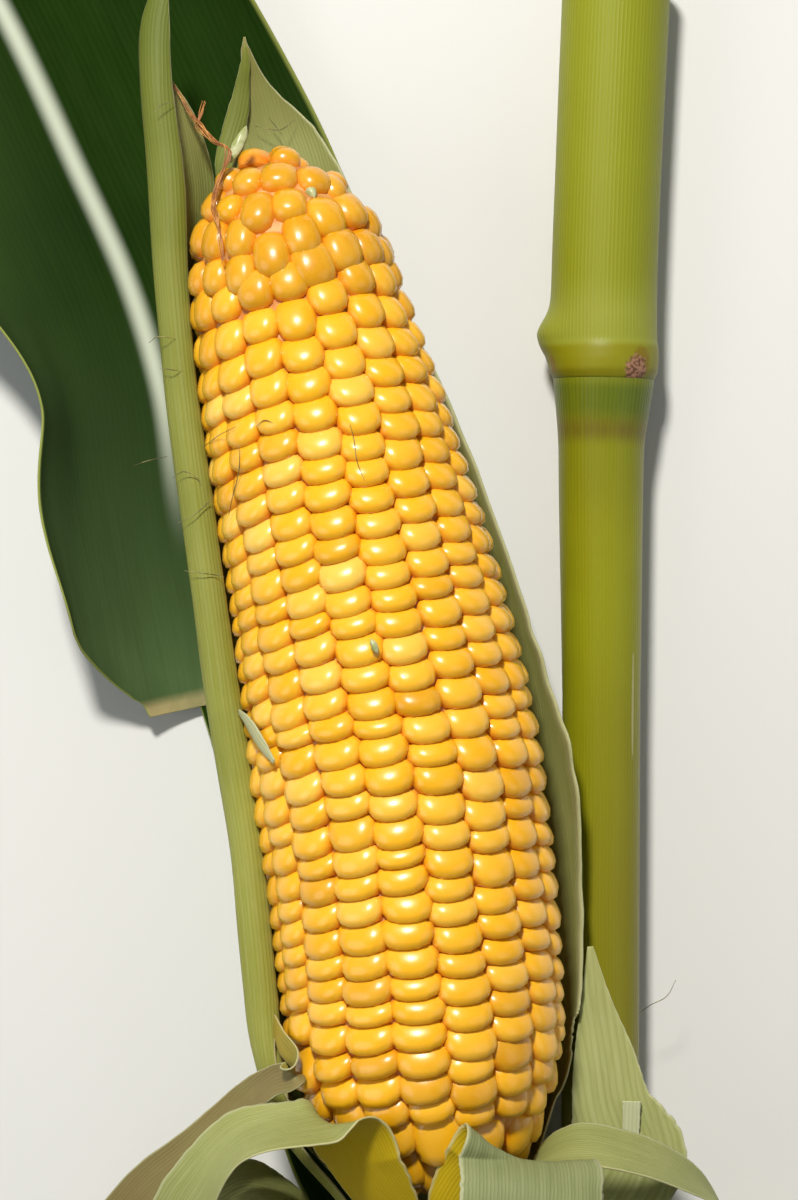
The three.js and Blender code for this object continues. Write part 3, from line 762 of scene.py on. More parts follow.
def makeStalk():
    look = {
        "rough": 0.36, "spacing": 0.8, "waver": 0.5, "patch": 45.0, "relief": 0.12,
        "base": (0.18, 0.15, 0.003),
        "bands": [(-150, -60, (0.19, 0.17, 0.003)), (-60, 10, (0.23, 0.24, 0.004)),
                  (12, 24, (0.19, 0.20, 0.004)), (27, 30.5, (0.15, 0.145, 0.006)),
                  (30, 34.5, (0.075, 0.115, 0.005)), (37, 38.6, (0.12, 0.15, 0.006))],
        "patchTone": (0.35, (0.18, 0.165, 0.003)),
        "lineTone": (0.08, (0.33, 0.34, 0.03)),
        "streakTone": (0.12, (0.28, 0.28, 0.012)),
        # the spot at -18.5 is a painted highlight, a thin pale glint down the right side of the
        # stalk, no scar
        "scarsAndGlints": [{"at": -18.5, "tall": 9.5, "turn": 0.88, "wide": 0.045, "grain": 700.0,
                   "share": 0.75, "colour": (0.42, 0.38, 0.20)}],
        "tints": [{"at": 29.8, "tall": 3.0, "share": 0.75, "colour": (0.115, 0.075, 0.01)}],
    }

    bm = stemShell(stalkLine, stalk, start=stalk["foot"])
    skins = [stemSkin("stalkSkin", look), pithSkin()]
    finishPiece(bm, "stalk_stem", skins, "stalk", ["stalk"])


def makeUpperSheath():
    look = {
        "rough": 0.45, "spacing": 0.66, "waver": 0.2, "patch": 60.0, "relief": 0.16,
        "ribsFrom": (44.8, 47.5), "base": (0.10, 0.12, 0.003),
        "bands": [(38.9, 39.9, (0.175, 0.155, 0.001)), (40.2, 41.6, (0.215, 0.20, 0.002)),
                  (44.4, 45.6, (0.26, 0.28, 0.03)), (50, 58, (0.215, 0.235, 0.006)),
                  (60, 80, (0.22, 0.24, 0.006))],
        "patchTone": (0.25, (0.20, 0.205, 0.006)),
        "lineTone": (0.28, (0.29, 0.305, 0.022)),
        "streakTone": (0.14, (0.27, 0.285, 0.018)),
        "scarsAndGlints": [{"at": 41.8, "tall": 3.0, "turn": 0.72, "wide": 0.22, "grain": 1500.0,
                   "share": 0.6, "colour": (0.19, 0.10, 0.006)},
                  {"at": 40.3, "tall": 3.0, "turn": 0.6, "wide": 0.26, "grain": 1400.0,
                   "share": 1.0, "colour": (0.33, 0.17, 0.10), "speck": (0.12, 0.05, 0.025)},
                  {"at": 41.5, "tall": 1.9, "turn": -1.2, "wide": 0.1, "grain": 1500.0,
                   "share": 0.6, "colour": (0.22, 0.10, 0.006)}],
    }
    bm = stemShell(stalkLine, upperSheath, upperSheath["from"] - stalk["foot"], stalk["foot"],
                   capped=False)
    piece = finishPiece(bm, "stalk_sheath", [stemSkin("sheathSkin", look)], "sheath",
                        ["upper_sheath"])
    addWall(piece, upperSheath["wall"], -1.0, 0)


shank = {
    "line": [(8.8, -105.1, 33), (9.6, -112, 31.2), (12, -121, 27), (18, -131, 20.5),
             (25, -139.5, 15), (33, -147, 11.4)],
    "footRadius": 7.0, "earRadius": 6.2, "around": 40, "rows": 50,
}
shankLine = tracedLine([Vector(point) for point in shank["line"]])
shank["outline"] = [(0, shank["earRadius"]), (shankLine["length"], shank["footRadius"])]


def makeShank():
    look = {
        "rough": 0.5, "spacing": 0.9, "waver": 0.3, "patch": 60.0, "relief": 0.3,
        "base": (0.28, 0.30, 0.08),
        "patchTone": (0.4, (0.22, 0.24, 0.04)),
        "lineTone": (0.25, (0.40, 0.42, 0.18)),
        "streakTone": (0.2, (0.34, 0.36, 0.12)),
    }

    bm = stemShell(shankLine, shank)
    finishPiece(bm, "ear_shank", [stemSkin("shankSkin", look), pithSkin()], "stalk", ["shank"])


# blades: leaf and husks
# A station gives the middle point, the direction across, and the half width and curl angle to
# the left and right.
cupOutline = [(-8, 8.8), (-3, 10), (2, 13.2), (7, 17.4), (12, 21.1), (17, 24.2), (23, 26.3),
              (30, 27.2), (48, 27.5), (77, 27.8), (105, 25.9), (135, 23.7), (160, 21)]


def station(at, across, half, curl):
    return {"at": Vector(at), "across": Vector(across), "half": Vector((*half, 0)),
            "curl": Vector((*curl, 0))}


def stations(*rows):
    # made stations, and rows of ten numbers, or of eight where both sides are alike
    made = []
    for row in rows:
        if not isinstance(row, dict):
            half, curl = (row[6:8], row[8:]) if len(row) > 8 else (row[6:7] * 2, row[7:] * 2)
            row = station(row[:3], row[3:6], half, curl)
        made.append(row)
    return made


def wrapStation(distance, angle, lift, sides, loose):
    # on a husk that lies round the ear, angle from straight below
    at, along, side, up = lineFrame(earLine, distance)
    radius = readTable(cupOutline, distance) + lift
    across = side * math.cos(angle) + up * math.sin(angle)
    return station(roundPlace(at, side, -up, angle, radius), across,
                   [radius * share for share in sides], [a * b for a, b in zip(sides, loose)])


def evenWraps(distances, angle, lift, share):
    return [wrapStation(distance, angle, lift, (share, share), (1, 1)) for distance in distances]


def footStation(drop, angle, radius, half):
    # at the foot of a husk, beside the shank
    at, along, side, up = lineFrame(shankLine, drop)
    across = up * math.sin(angle) - side * math.cos(angle)
    return station(roundPlace(at, -side, -up, angle, radius), across, (half, half),
                   (half / radius, half / radius))


def earStation(distance, turn, lift, half):
    # blade that lies across the rows of the ear
    at, across, skin, out = skinFrame(distance, math.radians(turn))
    return station(at + out * lift, skin, (half, half), (0.3, 0.3))


shareStep = 0.0005  # over which the direction along a blade is read
flattest = 0.02  # curl below which a blade counts as flat


def bladeRows(line, count):
    # for each step along the blade: middle, across, facing, half widths, curls and distance
    def between(label, share, centripetal=False):
        return curvePoint([each[label] for each in line], share, centripetal)

    rows = []
    for i in range(count + 1):
        share = i / count
        low, high = clamp(share - shareStep), clamp(share + shareStep)
        at = between("at", share, True)
        along = (between("at", high, True) - between("at", low, True)).normalized()
        across = between("across", share)
        across = (across - along * across.dot(along)).normalized()
        reach = rows[-1]["reach"] + (at - rows[-1]["at"]).length if rows else 0.0
        rows.append({"at": at, "across": across, "facing": across.cross(along), "reach": reach,
                     "half": between("half", share), "curl": between("curl", share)})
    return rows


def sideOf(pair, u):
    return pair.x if u < 0 else pair.y


def bladePoint(row, u):
    half, curl = sideOf(row["half"], u), sideOf(row["curl"], u)
    angle = flattest if abs(curl) < flattest else curl
    radius = half / angle
    sideways = math.copysign(1.0, u) * radius * math.sin(abs(u) * angle)
    rising = radius * (1 - math.cos(u * angle))
    return row["at"] + row["across"] * sideways + row["facing"] * rising


blade = {
    # what a blade has unless it says otherwise; green and dry are tables along it, and on the leaf
    # the green table places a painted sheen
    "across": 24, "along": 160, "thick": 0.3, "seed": 1.0, "wrinkle": 0.0, "crease": 0.0,
    "ruffle": 0.0, "ruffleRate": 0.1, "keel": 0.0, "ragged": 0.0, "green": [(0, 0)],
    "dry": [(0, 0)], "leftPale": 0.0,
    # the same for all
    "wrinkleGrain": (0.12, 0.03), "creaseGrain": (0.5, 0.06), "keelWide": 2.2, "tears": 60.0,
    "raggedFrom": 0.3, "endEase": 6, "clearance": 0.05,
}


def makeBlade(name, line, materials, slot, nodes=(), **settings):
    shape = {**blade, **settings}
    seed, steps = shape["seed"], shape["along"]
    bm = bmesh.new()
    bmesh.ops.create_grid(bm, x_segments=shape["across"], y_segments=steps, size=0.5)
    rows = bladeRows(line, steps)
    uvs = bm.loops.layers.uv.new("fibreMap")
    edge, tip, green, dry = [bm.verts.layers.float.new(label)
                             for label in ("edgeShare", "tipShare", "greenAndSheenShare", "dryShare")]
    spots = {}
    for vert in bm.verts:
        u, v = vert.co.x * 2, vert.co.y + 0.5
        row = rows[clamp(round(v * steps), 0, steps)]
        tear = noise.noise(Vector((v * shape["tears"], seed, math.copysign(2, u))))
        reach = 1.0 + shape["ragged"] * tear * abs(u) ** 3 if abs(u) > shape["raggedFrom"] else 1.0
        spots[vert.index] = (u * sideOf(row["half"], u), row["reach"])
        vert[edge] = u
        vert[tip] = v
        # on the leaf this share is a painted sheen, with extra on its left half; on the husks it
        # says how green they are
        vert[green] = min(readTable(shape["green"], v) + shape["leftPale"] * max(0.0, -u), 1.0)
        vert[dry] = readTable(shape["dry"], v)
        vert.co = bladePoint(row, u * reach)
    bm.normal_update()
    moves = []
    for vert in bm.verts:
        u, v = vert[edge], vert[tip]
        x, y = spots[vert.index]
        move = 0.0
        for label, shift in (("wrinkle", 0), ("crease", 7)):
            fineX, fineY = shape[label + "Grain"]
            move += noise.noise(Vector((x * fineX, y * fineY, seed + shift))) * shape[label]
        move += math.sin(y * shape["ruffleRate"] + seed * 3) * shape["ruffle"] * abs(u) ** 4
        move -= shape["keel"] * math.exp(-(x / shape["keelWide"]) ** 2)
        move *= min(1.0, shape["endEase"] * v, shape["endEase"] * (1 - v))
        moves.append(vert.normal * move)
    lowest = -frameShift.z + shape["thick"] / 2 + shape["clearance"]
    for vert, move in zip(bm.verts, moves):
        spot = vert.co + move
        spot.z = max(spot.z, lowest)
        vert.co = toFrame(spot)
    for face in bm.faces:
        for loop in face.loops:
            loop[uvs].uv = spots[loop.vert.index]
    piece = finishPiece(bm, name, materials, slot, nodes)
    addWall(piece, shape["thick"], 0.0, 1)


def bladeSkin(name, look):
    # fibrous leaf with veins along it; how green and how dry it is comes with the blade, and on
    # the leaf the green share lays on a painted sheen of glare
    made, tree, surface = newMaterial(name, look["rough"], Specular_IOR_Level=look["gloss"])
    veins = fibres(tree, look)
    tipShare = attribute(tree, "tipShare")
    greenAndSheenShare = attribute(tree, "greenAndSheenShare")
    colour = mixColour(tree, patches(tree, look["patch"]), look["deep"], look["light"])
    # painted sheen: blue-grey glare mixed into the leaf by its green share
    if "paintedSheen" in look:
        colour = mixColour(tree, greenAndSheenShare, colour, look["paintedSheen"])
    colour = tinted(tree, colour, look["streak"], veins["Streaks"], look["streakShare"])
    colour = tinted(tree, colour, look["vein"], veins["Lines"], look["veinShare"])
    if "green" in look:
        colour = tinted(tree, colour, look["green"], greenAndSheenShare, shading["cover"])
    if "far" in look:
        away = rise(tree, tipShare, *look["farBetween"])
        colour = tinted(tree, colour, look["far"], away, shading["cover"])
    withered = patches(tree, **shading["withered"])
    withered = mathNode(tree, "MULTIPLY_ADD", withered, *shading["halfUneven"])
    colour = tinted(tree, colour, look["dry"], withered, attribute(tree, "dryShare"))
    if "midrib" in look:
        x, y = splitVector(tree, fibreMap(tree))
        near = mapRange(tree, mathNode(tree, "ABSOLUTE", x), look["midribWide"], 0.0)
        shown = rise(tree, tipShare, *look["midribBetween"])
        colour = tinted(tree, colour, look["midrib"], near, shown)
    edgeShare = mathNode(tree, "ABSOLUTE", attribute(tree, "edgeShare"))
    rim = rise(tree, edgeShare, look["marginFrom"], 1.0)
    colour = tinted(tree, colour, look["margin"], rim, look["marginShare"])
    feed(tree, surface["Base Color"], colour)
    height = mathNode(tree, "MULTIPLY_ADD", veins["Streaks"], shading["streakRelief"]["blade"],
                      veins["Lines"])
    addBump(tree, surface, height, look["relief"], "blade")
    return made


# leaf
leafUpper = {
    "rough": 0.6, "gloss": 0.03, "spacing": 1.05, "waver": 0.4, "patch": 18.0, "relief": 0.05,
    "deep": (0.004, 0.017, 0.0005), "light": (0.009, 0.028, 0.001), "dry": (0.42, 0.34, 0.16),
    # the first colour on the next line is a painted sheen, blue-grey glare on the leaf
    "paintedSheen": (0.074, 0.122, 0.046), "streak": (0.024, 0.050, 0.007), "streakShare": 0.25,
    "vein": (0.055, 0.09, 0.03), "veinShare": 0.05, "midrib": (0.52, 0.56, 0.44),
    "midribWide": 2.76, "midribBetween": (0.2, 0.36),
    "margin": (0.30, 0.33, 0.08), "marginFrom": 0.975, "marginShare": 0.8,
}
leafUnder = dict(leafUpper, deep=(0.03, 0.08, 0.02), light=(0.045, 0.11, 0.03), rough=0.5,
                 midrib=(0.30, 0.38, 0.16))
leafBlade = stations(
    (-32.7, -18.5, 2.4, 0.997, -0.07, 0, 12.5, 13, 0.5, 0.2),
    (-33.5, -14.7, 2.4, 0.998, -0.06, 0, 15.5, 14, 0.7, 0.2),
    (-36.8, 0, 2.2, 0.97, 0.2, 0, 31, 27, 1.4, 0.15),
    (-40.2, 17.9, 2, 0.99, 0.15, 0, 32, 36, 1.45, 0.1),
    (-42.9, 37.7, 2, 0.98, 0.2, 0, 29, 41, 1.45, 0.08),
    (-48.5, 56.5, 2.2, 0.92, 0.38, 0, 32, 43, 1.3, 0.08),
    (-58.4, 78.7, 3.5, 0.91, 0.4, 0, 36, 42.5, 1.0, 0.1),
    (-69.8, 103.2, 6.5, 0.88, 0.47, 0, 38, 40, 0.8, 0.15),
    (-86, 132, 12, 0.82, 0.57, 0, 36, 37, 0.6, 0.2),
    (-106, 158, 17, 0.74, 0.67, 0, 30, 31, 0.5, 0.25),
    (-129, 180, 18, 0.64, 0.77, 0, 22, 22.5, 0.4, 0.3),
    (-152, 197, 12, 0.55, 0.84, 0, 12.5, 0.3),
    (-172, 208, 2.5, 0.45, 0.89, 0, 1.2, 0.1),
)
leafSheath = stations(
    (35.8, -147, 1.1, 1, 0, 0, 19, 15, 0.7, 1.4),
    (31, -135, 1.1, 0.96, 0.25, 0, 22, 12, 0.45, 0.3),
    (17, -112, 1.1, 0.88, 0.47, 0, 26, 13, 0.3, 0.1),
    (4, -88, 1.1, 0.88, 0.47, 0, 27, 20, 0.25, 0.1),
    (-8, -62, 1.1, 0.9, 0.42, 0, 19, 19, 0.35, 0.15),
    (-20, -39, 1.5, 0.889, 0.457, 0, 9.5, 18, 0.4, 0.2),
    (-29.2, -23.8, 1.8, 0.93, 0.36, 0, 5, 15.5, 0.4, 0.25),
    (-33.6, -14.5, 1.6, 0.97, 0.2, 0, 3.5, 14, 0.3, 0.2),
)


def makeLeaf():
    looks = [bladeSkin("leafUpper", leafUpper), bladeSkin("leafUnder", leafUnder)]
    makeBlade("leaf_blade_skin", leafBlade, looks, "leaf", ["leaf_blade"], across=48, along=260,
              thick=0.35, wrinkle=0.8, crease=0.12, ruffle=0.8, ruffleRate=0.11, keel=0.5,
              seed=2.0, dry=[(0, 1), (0.035, 0.95), (0.05, 0.6), (0.075, 0)], leftPale=0.4,
              # the green table and the extra share for the left half place the painted sheen,
              # strongest near the collar
              green=[(0, 1), (0.08, 0.95), (0.16, 0.6), (0.3, 0.2), (0.42, 0)])
    makeBlade("leaf_sheath_skin", leafSheath, looks, "leaf", ["leaf_sheath"], across=32,
              along=120, thick=0.5, wrinkle=0.3, crease=0.1, seed=3.0)


# husks
huskInside = {
    "rough": 0.58, "gloss": 0.25, "spacing": 0.62, "waver": 0.8, "patch": 50.0, "relief": 0.2,
    "deep": (0.24, 0.265, 0.075), "light": (0.31, 0.325, 0.105), "green": (0.09, 0.113, 0.012),
    "dry": (0.29, 0.23, 0.075), "streak": (0.40, 0.41, 0.18), "streakShare": 0.45,
    "vein": (0.20, 0.22, 0.055), "veinShare": 0.3,
    "margin": (0.50, 0.50, 0.30), "marginFrom": 0.92, "marginShare": 0.6,
}
huskLooks = {
    "Inside": huskInside,
    # outside of the peels: the mustard yellow near the foot is painted light shining through the
    # husk, and farther along it turns to the husk's own olive green
    "OutsidePaintedGlow": dict(
        huskInside, deep=(0.43, 0.295, 0.004), light=(0.51, 0.355, 0.007), gloss=0.08,
        far=(0.20, 0.22, 0.035), farBetween=(0.3, 0.5), streak=(0.46, 0.34, 0.02),
        vein=(0.30, 0.22, 0.004), dry=(0.27, 0.21, 0.06)),
    "Sleeve": dict(
        huskInside, deep=(0.26, 0.265, 0.03), light=(0.33, 0.33, 0.055),
        streak=(0.42, 0.43, 0.16), vein=(0.22, 0.23, 0.025), green=(0.072, 0.10, 0.007)),
    # darker copy of the inside look, painted shade for peel_front
    "PaintedShade": dict(
        huskInside, deep=(0.165, 0.19, 0.07), light=(0.21, 0.235, 0.095),
        streak=(0.31, 0.33, 0.16), vein=(0.14, 0.16, 0.055)),
    "Flat": dict(
        huskInside, spacing=1.15, waver=1.2, streakShare=0.8, streak=(0.43, 0.45, 0.20),
        vein=(0.19, 0.22, 0.045), veinShare=0.28),
    "Weathered": dict(
        huskInside, deep=(0.165, 0.148, 0.042), light=(0.225, 0.20, 0.062),
        streak=(0.30, 0.27, 0.12), vein=(0.15, 0.14, 0.035), dry=(0.20, 0.145, 0.05)),
    "Paper": dict(
        huskInside, deep=(0.40, 0.43, 0.22), light=(0.48, 0.51, 0.29),
        streak=(0.58, 0.60, 0.40), vein=(0.33, 0.36, 0.17)),
}
huskBack = stations(
    footStation(6, 0, 8.6, 9.5),
    *[wrapStation(distance, 0, 0, (left, right), (1, loose)) for distance, left, right, loose in (
        (2, 1, 1.75, 0.73), (7, 1, 1.65, 0.77), (12, 1, 1.5, 0.83), (17, 1, 1.38, 0.9),
        (23, 1, 1.33, 0.93), (30, 1, 1.33, 0.93), (48, 1.1, 1.35, 0.88), (70, 1.15, 1.47, 0.87),
        (88, 1.05, 1.34, 0.88), (105, 0.95, 1.25, 0.9), (135, 0.75, 1.15, 0.95),
        (157, 0.6, 0.95, 1))],
    (-20.6, 74, 13.6, 1, 0.05, 0, 10, 11, 0.5, 0.55),
    (-23.5, 83, 13.4, 0.97, 0.2, 0, 6.5, 7.5, 0.4, 0.45),
    (-25.6, 90.5, 15, 0.97, 0.22, 0, 2.4, 2.8, 0.3, 0.3),
    (-27, 97, 17, 0.97, 0.2, 0, 0.8, 0.7, 0.2, 0.2),
    (-27.2, 99, 17.4, 0.97, 0.2, 0, 0.15, 0.2),
)
huskLeft = stations(
    footStation(9, -1.75, 10.5, 3.4),
    (-10.5, -103.5, 32, -0.3, 0, -0.95, 3.2, 0.5),
    (-20.2, -92, 29.8, -0.4, 0, -0.9, 3.4, 0.7),
    (-23.6, -78, 33.5, -0.85, 0, -0.5, 4, 3.9, 1.2, 1.1),
    (-24.6, -66, 35.5, -0.95, 0, -0.3, 4.2, 4.2, 1.4, 1.3),
    (-26.9, -43, 36.8, -0.95, 0, -0.3, 4.1, 4.1, 1.4, 1.3),
    (-30.8, -18, 37, -0.95, 0, -0.3, 4.5, 4.5, 1.4, 1.3),
    (-34.2, 6.9, 36.8, -0.95, 0, -0.3, 4.2, 4.2, 1.4, 1.3),
    (-38.1, 37.4, 36.5, -0.95, 0, -0.3, 4, 4, 1.4, 1.3),
    (-39.8, 57, 36, -0.95, 0, -0.3, 4.2, 4.2, 1.3, 1.2),
    (-40.6, 72, 35.4, -0.95, 0, -0.3, 4.2, 4.2, 1.2, 1.1),
    (-42.2, 89, 34, -0.95, 0, -0.3, 3.3, 1),
    (-42.3, 99, 32.6, -0.95, 0, -0.3, 2.9, 0.8),
    (-41, 107, 31.5, -0.95, 0, -0.3, 1.2, 0.6),
)
huskInnerLeft = stations(
    *evenWraps((3, 7, 12, 17, 23, 30), -1, 3.4, 0.27),
    *evenWraps((48, 77, 105), -1, 3.2, 0.3),
    *evenWraps((132,), -1.05, 3.4, 0.3),
    (-36, 56, 24.5, 0.45, 0, -0.85, 4.8, 0.3),
    (-35.6, 72, 26, 0.6, 0, -0.7, 4, 4.6, 0.3, 0.3),
    (-37.6, 83.5, 27.6, 0.7, 0, -0.6, 1.8, 2.6, 0.3, 0.3),
    (-39.3, 89.1, 29, 0.7, 0, -0.6, 0.6, 0.2),
)
peelFarLeft = stations(
    footStation(1, -1.6, 9.3, 2.2),
    wrapStation(8, -1.55, -1.5, (0.16, 0.16), (1, 1)),
    wrapStation(17, -1.52, -1.4, (0.11, 0.11), (1, 1)),
    wrapStation(25, -1.5, -1, (0.09, 0.09), (1, 1)),
    (-21.4, -73.4, 35, 0, 1, 0, 2.1, 0.1),
    (-20, -75.2, 41, 0.15, 0.85, 0.3, 2.2, 0.1),
    (-17.6, -78, 45.4, 0.17, 0.83, 0.4, 2.3, 0.1),
    (-18, -80, 46.2, 0.1, 0.85, 0.2, 2.5, 0.2),
    (-21, -81.6, 42.2, -0.1, 0.8, -0.3, 2.8, 0.2),
    (-26, -86, 36, -0.3, 0.6, -0.7, 4, 0.35),
    (-35, -95.4, 28.5, -0.4, 0.6, -0.6, 4.6, 0.4),
    (-45.4, -105.4, 19.5, -0.5, 0.6, -0.5, 5.2, 0.4),
    (-55, -121, 9.5, -0.8, 0.5, -0.3, 5, 0.4),
    (-60.5, -137, 4, -0.95, 0.3, -0.1, 3.8, 0.3),
    (-63, -150, 1.6, -1, 0.1, 0, 0.9, 0.1),
)
peelLeft = stations(
    footStation(5, -2.7, 9.8, 3.5),
    (-1.5, -104, 45, -0.9, 0.2, -0.4, 6.5, 0.4),
    (-6.8, -95, 48.6, -0.86, 0.25, -0.45, 9, 0.3),
    (-11, -88, 51, -0.84, 0.22, -0.5, 9.6, 8.2, 0.2, 0.2),
    (-16.4, -88, 52.6, -0.3, 0.3, -0.9, 9, 8, 0.2, 0.2),
    (-25.8, -91.1, 51, -0.23, 0.21, -0.95, 9.4, 0.3),
    (-33.6, -102, 43, -0.4, 0.25, -0.85, 9.2, 0.4),
    (-38.8, -117, 29.5, -0.75, 0.3, -0.5, 8.2, 0.4),
    (-46, -138, 13, -0.93, 0.25, -0.25, 7.5, 0.4),
    (-50, -162, 5, -1, 0.1, 0, 5, 0.3),
    (-52, -184, 1.6, -1, 0.1, 0, 0.9, 0.1),
)
peelUnderLeft = stations(
    footStation(19, -1.25, 7.8, 4),
    (-7, -114.5, 22, -0.6, 0.2, -0.75, 4.8, 0.4),
    (-17, -106, 26, -0.5, 0.4, -0.75, 6.8, 0.3),
    (-26, -103.5, 26, -0.4, 0.5, -0.75, 7, 0.3),
    (-32.5, -110, 18.5, -0.6, 0.5, -0.6, 7, 0.3),
    (-36, -122, 10, -0.9, 0.3, -0.2, 6.6, 0.3),
    (-37, -137, 4.6, -1, 0.1, 0, 5, 0.3),
    (-36.5, -151, 1.6, -1, 0, 0, 0.9, 0.1),
)
peelFront = stations(
    footStation(5, 2.7, 7.25, 3),
    (12.5, -105.5, 46.5, -1, 0, 0, 8, 8.5, 0.4, 0.5),
    (17.2, -97.5, 51.5, -1, 0.07, 0, 10.5, 11, 0.3, 0.4),
    (21.2, -93.4, 55, -1, 0.09, 0, 12, 12.2, 0.1, 0.25),
    (22, -96.5, 60.5, -1, 0.09, 0, 12.6, 12, -0.55, 0.12),
    (21.2, -106, 62.3, -1, 0.08, 0, 12.6, 12, -0.5, 0.2),
    (19.5, -124, 57, -1, 0.05, 0, 11, 0.4),
    (16.5, -143, 44, -1, 0, 0, 9.8, 0.5),
    (12.5, -162, 26, -1, 0, 0, 8, 0.5),
    (8.5, -180, 10, -1, 0, 0, 5.5, 0.4),
    (5.5, -196, 1.8, -1, 0, 0, 0.9, 0.1),
)
peelRight = stations(
    footStation(2, 1.95, 7.05, 2.6),
    (19, -102.5, 38.5, -0.6, -0.2, 0.7, 5.6, 0.3),
    (23.4, -95.6, 41, -0.5, -0.4, 0.75, 6.2, 0.25),
    (30, -92.8, 42.6, -0.2, -0.45, 0.87, 6, 0.2),
    (39.4, -94.6, 41, 0.2, -0.5, 0.8, 6.2, 0.3),
    (48, -98.8, 36, 0.5, -0.6, 0.6, 7, 0.35),
    (57, -106, 27, 0.7, -0.6, 0.35, 7.4, 0.4),
    (67, -121, 14, 0.85, -0.4, 0.1, 7, 0.4),
    (74, -140, 5.5, 0.95, -0.2, 0, 5, 0.3),
    (77, -160, 1.6, 1, -0.1, 0, 0.9, 0.1),
)
huskRight = stations(
    footStation(10, 0.95, 9.6, 4),
    (25.5, -113.5, 23.8, 0.35, -0.93, 0.1, 6, 0.3),
    (35, -106, 22.6, 0.75, -0.66, 0, 7.6, 0.15),
    (39.6, -97.5, 23.3, 0.97, -0.2, 0, 10, 10.4, 0.12, 0.12),
    (38.3, -92, 23.5, 1, -0.05, 0, 9, 0.12),
    (37, -87.6, 23.6, 1, 0.05, 0, 7, 6.9, 0.12, 0.12),
    (35.8, -79.5, 23.5, 1, 0.1, 0, 5.4, 5.3, 0.12, 0.12),
    (34.4, -70, 23, 1, 0.1, 0, 2.7, 0.1),
    (33.4, -60.5, 22, 1, 0.1, 0, 0.5, 0.1),
)
huskBackFold = stations(
    (-27.1, 97.5, 17.8, 0.97, 0.2, 0, 0.15, 0.1),
    (-27, 95.3, 17.3, 0.97, 0.2, 0, 0.7, 0.2),
    (-27.5, 90.8, 16.4, 0.95, 0.25, 0, 1.3, 1.2, 0.4, 0.4),
    (-28.3, 86.1, 16.1, 0.95, 0.3, 0, 1.9, 0.4),
    (-29.4, 82, 16.2, 0.95, 0.3, 0, 2, 1.9, 0.4, 0.4),
    (-30.6, 77.5, 16.8, 0.95, 0.3, 0, 1.8, 1.7, 0.4, 0.4),
    (-31.4, 73, 17.8, 0.95, 0.3, 0, 0.6, 0.2),
)
huskRightFlap = stations(
    (40.5, -87.2, 24.9, 1, 0.08, 0, 1.6, 0.1),
    (40.4, -91, 24.4, 1, 0.03, 0, 1.5, 0.1),
    (40.3, -96.5, 23.9, 1, 0, 0, 1.4, 0.1),
)
earScrap = [earStation(*place) for place in (
    (90, -80, 0.9, 0.5), (87.6, -68, 0.7, 1.3), (84.2, -59, 0.6, 1.2), (80.6, -51, 0.6, 0.4))]
husks = [
    # node, line, slot, looks of the inside and outside, settings
    ("husk_back", huskBack, "husk", "Inside", "Sleeve",
     {"across": 60, "along": 200, "seed": 4.0, "dry": [(0.78, 0), (0.88, 0.4), (1, 0.7)],
      "green": [(0, 0.2), (0.75, 0.3), (0.9, 0.75), (1, 0.6)]}),
    ("husk_left", huskLeft, "husk", "Inside", "Sleeve",
     {"along": 220, "seed": 5.0,
      "green": [(0, 0), (0.3, 0.05), (0.45, 0.3), (0.62, 0.5), (0.78, 0.8), (0.9, 1), (1, 1)]}),
    ("husk_inner_left", huskInnerLeft, "pale_husk", "Inside", "Sleeve",
     {"seed": 6.0, "dry": [(0.85, 0), (1, 0.8)], "green": [(0, 0.3), (0.7, 0.5), (1, 0.7)]}),
    ("husk_right", huskRight, "pale_husk", "Flat", "Sleeve",
     {"seed": 7.0, "dry": [(0.8, 0), (1, 0.3)]}),
    ("peel_far_left", peelFarLeft, "husk", "Weathered", "OutsidePaintedGlow",
     {"along": 220, "seed": 8.0, "dry": [(0, 0.3), (0.3, 0.5), (0.5, 0.9), (1, 0.9)]}),
    ("peel_left", peelLeft, "husk", "Inside", "OutsidePaintedGlow",
     {"across": 32, "along": 220, "seed": 9.0}),
    ("peel_under_left", peelUnderLeft, "husk", "Inside", "OutsidePaintedGlow",
     {"seed": 10.0, "green": [(0, 0.3), (1, 0.3)]}),
    ("peel_front", peelFront, "husk", "PaintedShade", "OutsidePaintedGlow",
     {"across": 36, "along": 220, "seed": 11.0}),
    ("peel_right", peelRight, "husk", "Inside", "OutsidePaintedGlow",
     {"along": 200, "seed": 12.0, "green": [(0, 0.2), (1, 0.1)]}),
]
scraps = [
    # loose pieces of husk, in the scene only
    ("husk_back_fold", huskBackFold, "husk", "Inside", "Sleeve",
     {"seed": 13.0, "green": [(0, 0.6), (0.3, 0.9), (1, 0.8)]}),
    ("husk_right_flap", huskRightFlap, "pale_husk", "Paper", "Paper", {"seed": 14.0}),
    ("ear_scrap", earScrap, "pale_husk", "Paper", "Paper",
     {"seed": 15.0, "dry": [(0, 0.4), (1, 0.4)], "thick": 0.15}),
]


def makeHusks():
    skins = {name: bladeSkin("husk" + name, look) for name, look in huskLooks.items()}
    plain = {"wrinkle": 0.35, "crease": 0.12, "ragged": 0.03}
    small = {"across": 10, "along": 40, "wrinkle": 0.1, "crease": 0.12, "ragged": 0.12}
    for name, line, slot, inside, outside, settings in husks:
        makeBlade(name + "_skin", line, [skins[inside], skins[outside]], slot, [name],
                  **{**plain, **settings})
    for name, line, slot, inside, outside, settings in scraps:
        makeBlade(name, line, [skins[inside], skins[outside]], slot, **{**small, **settings})
    print("husks:", len(husks))


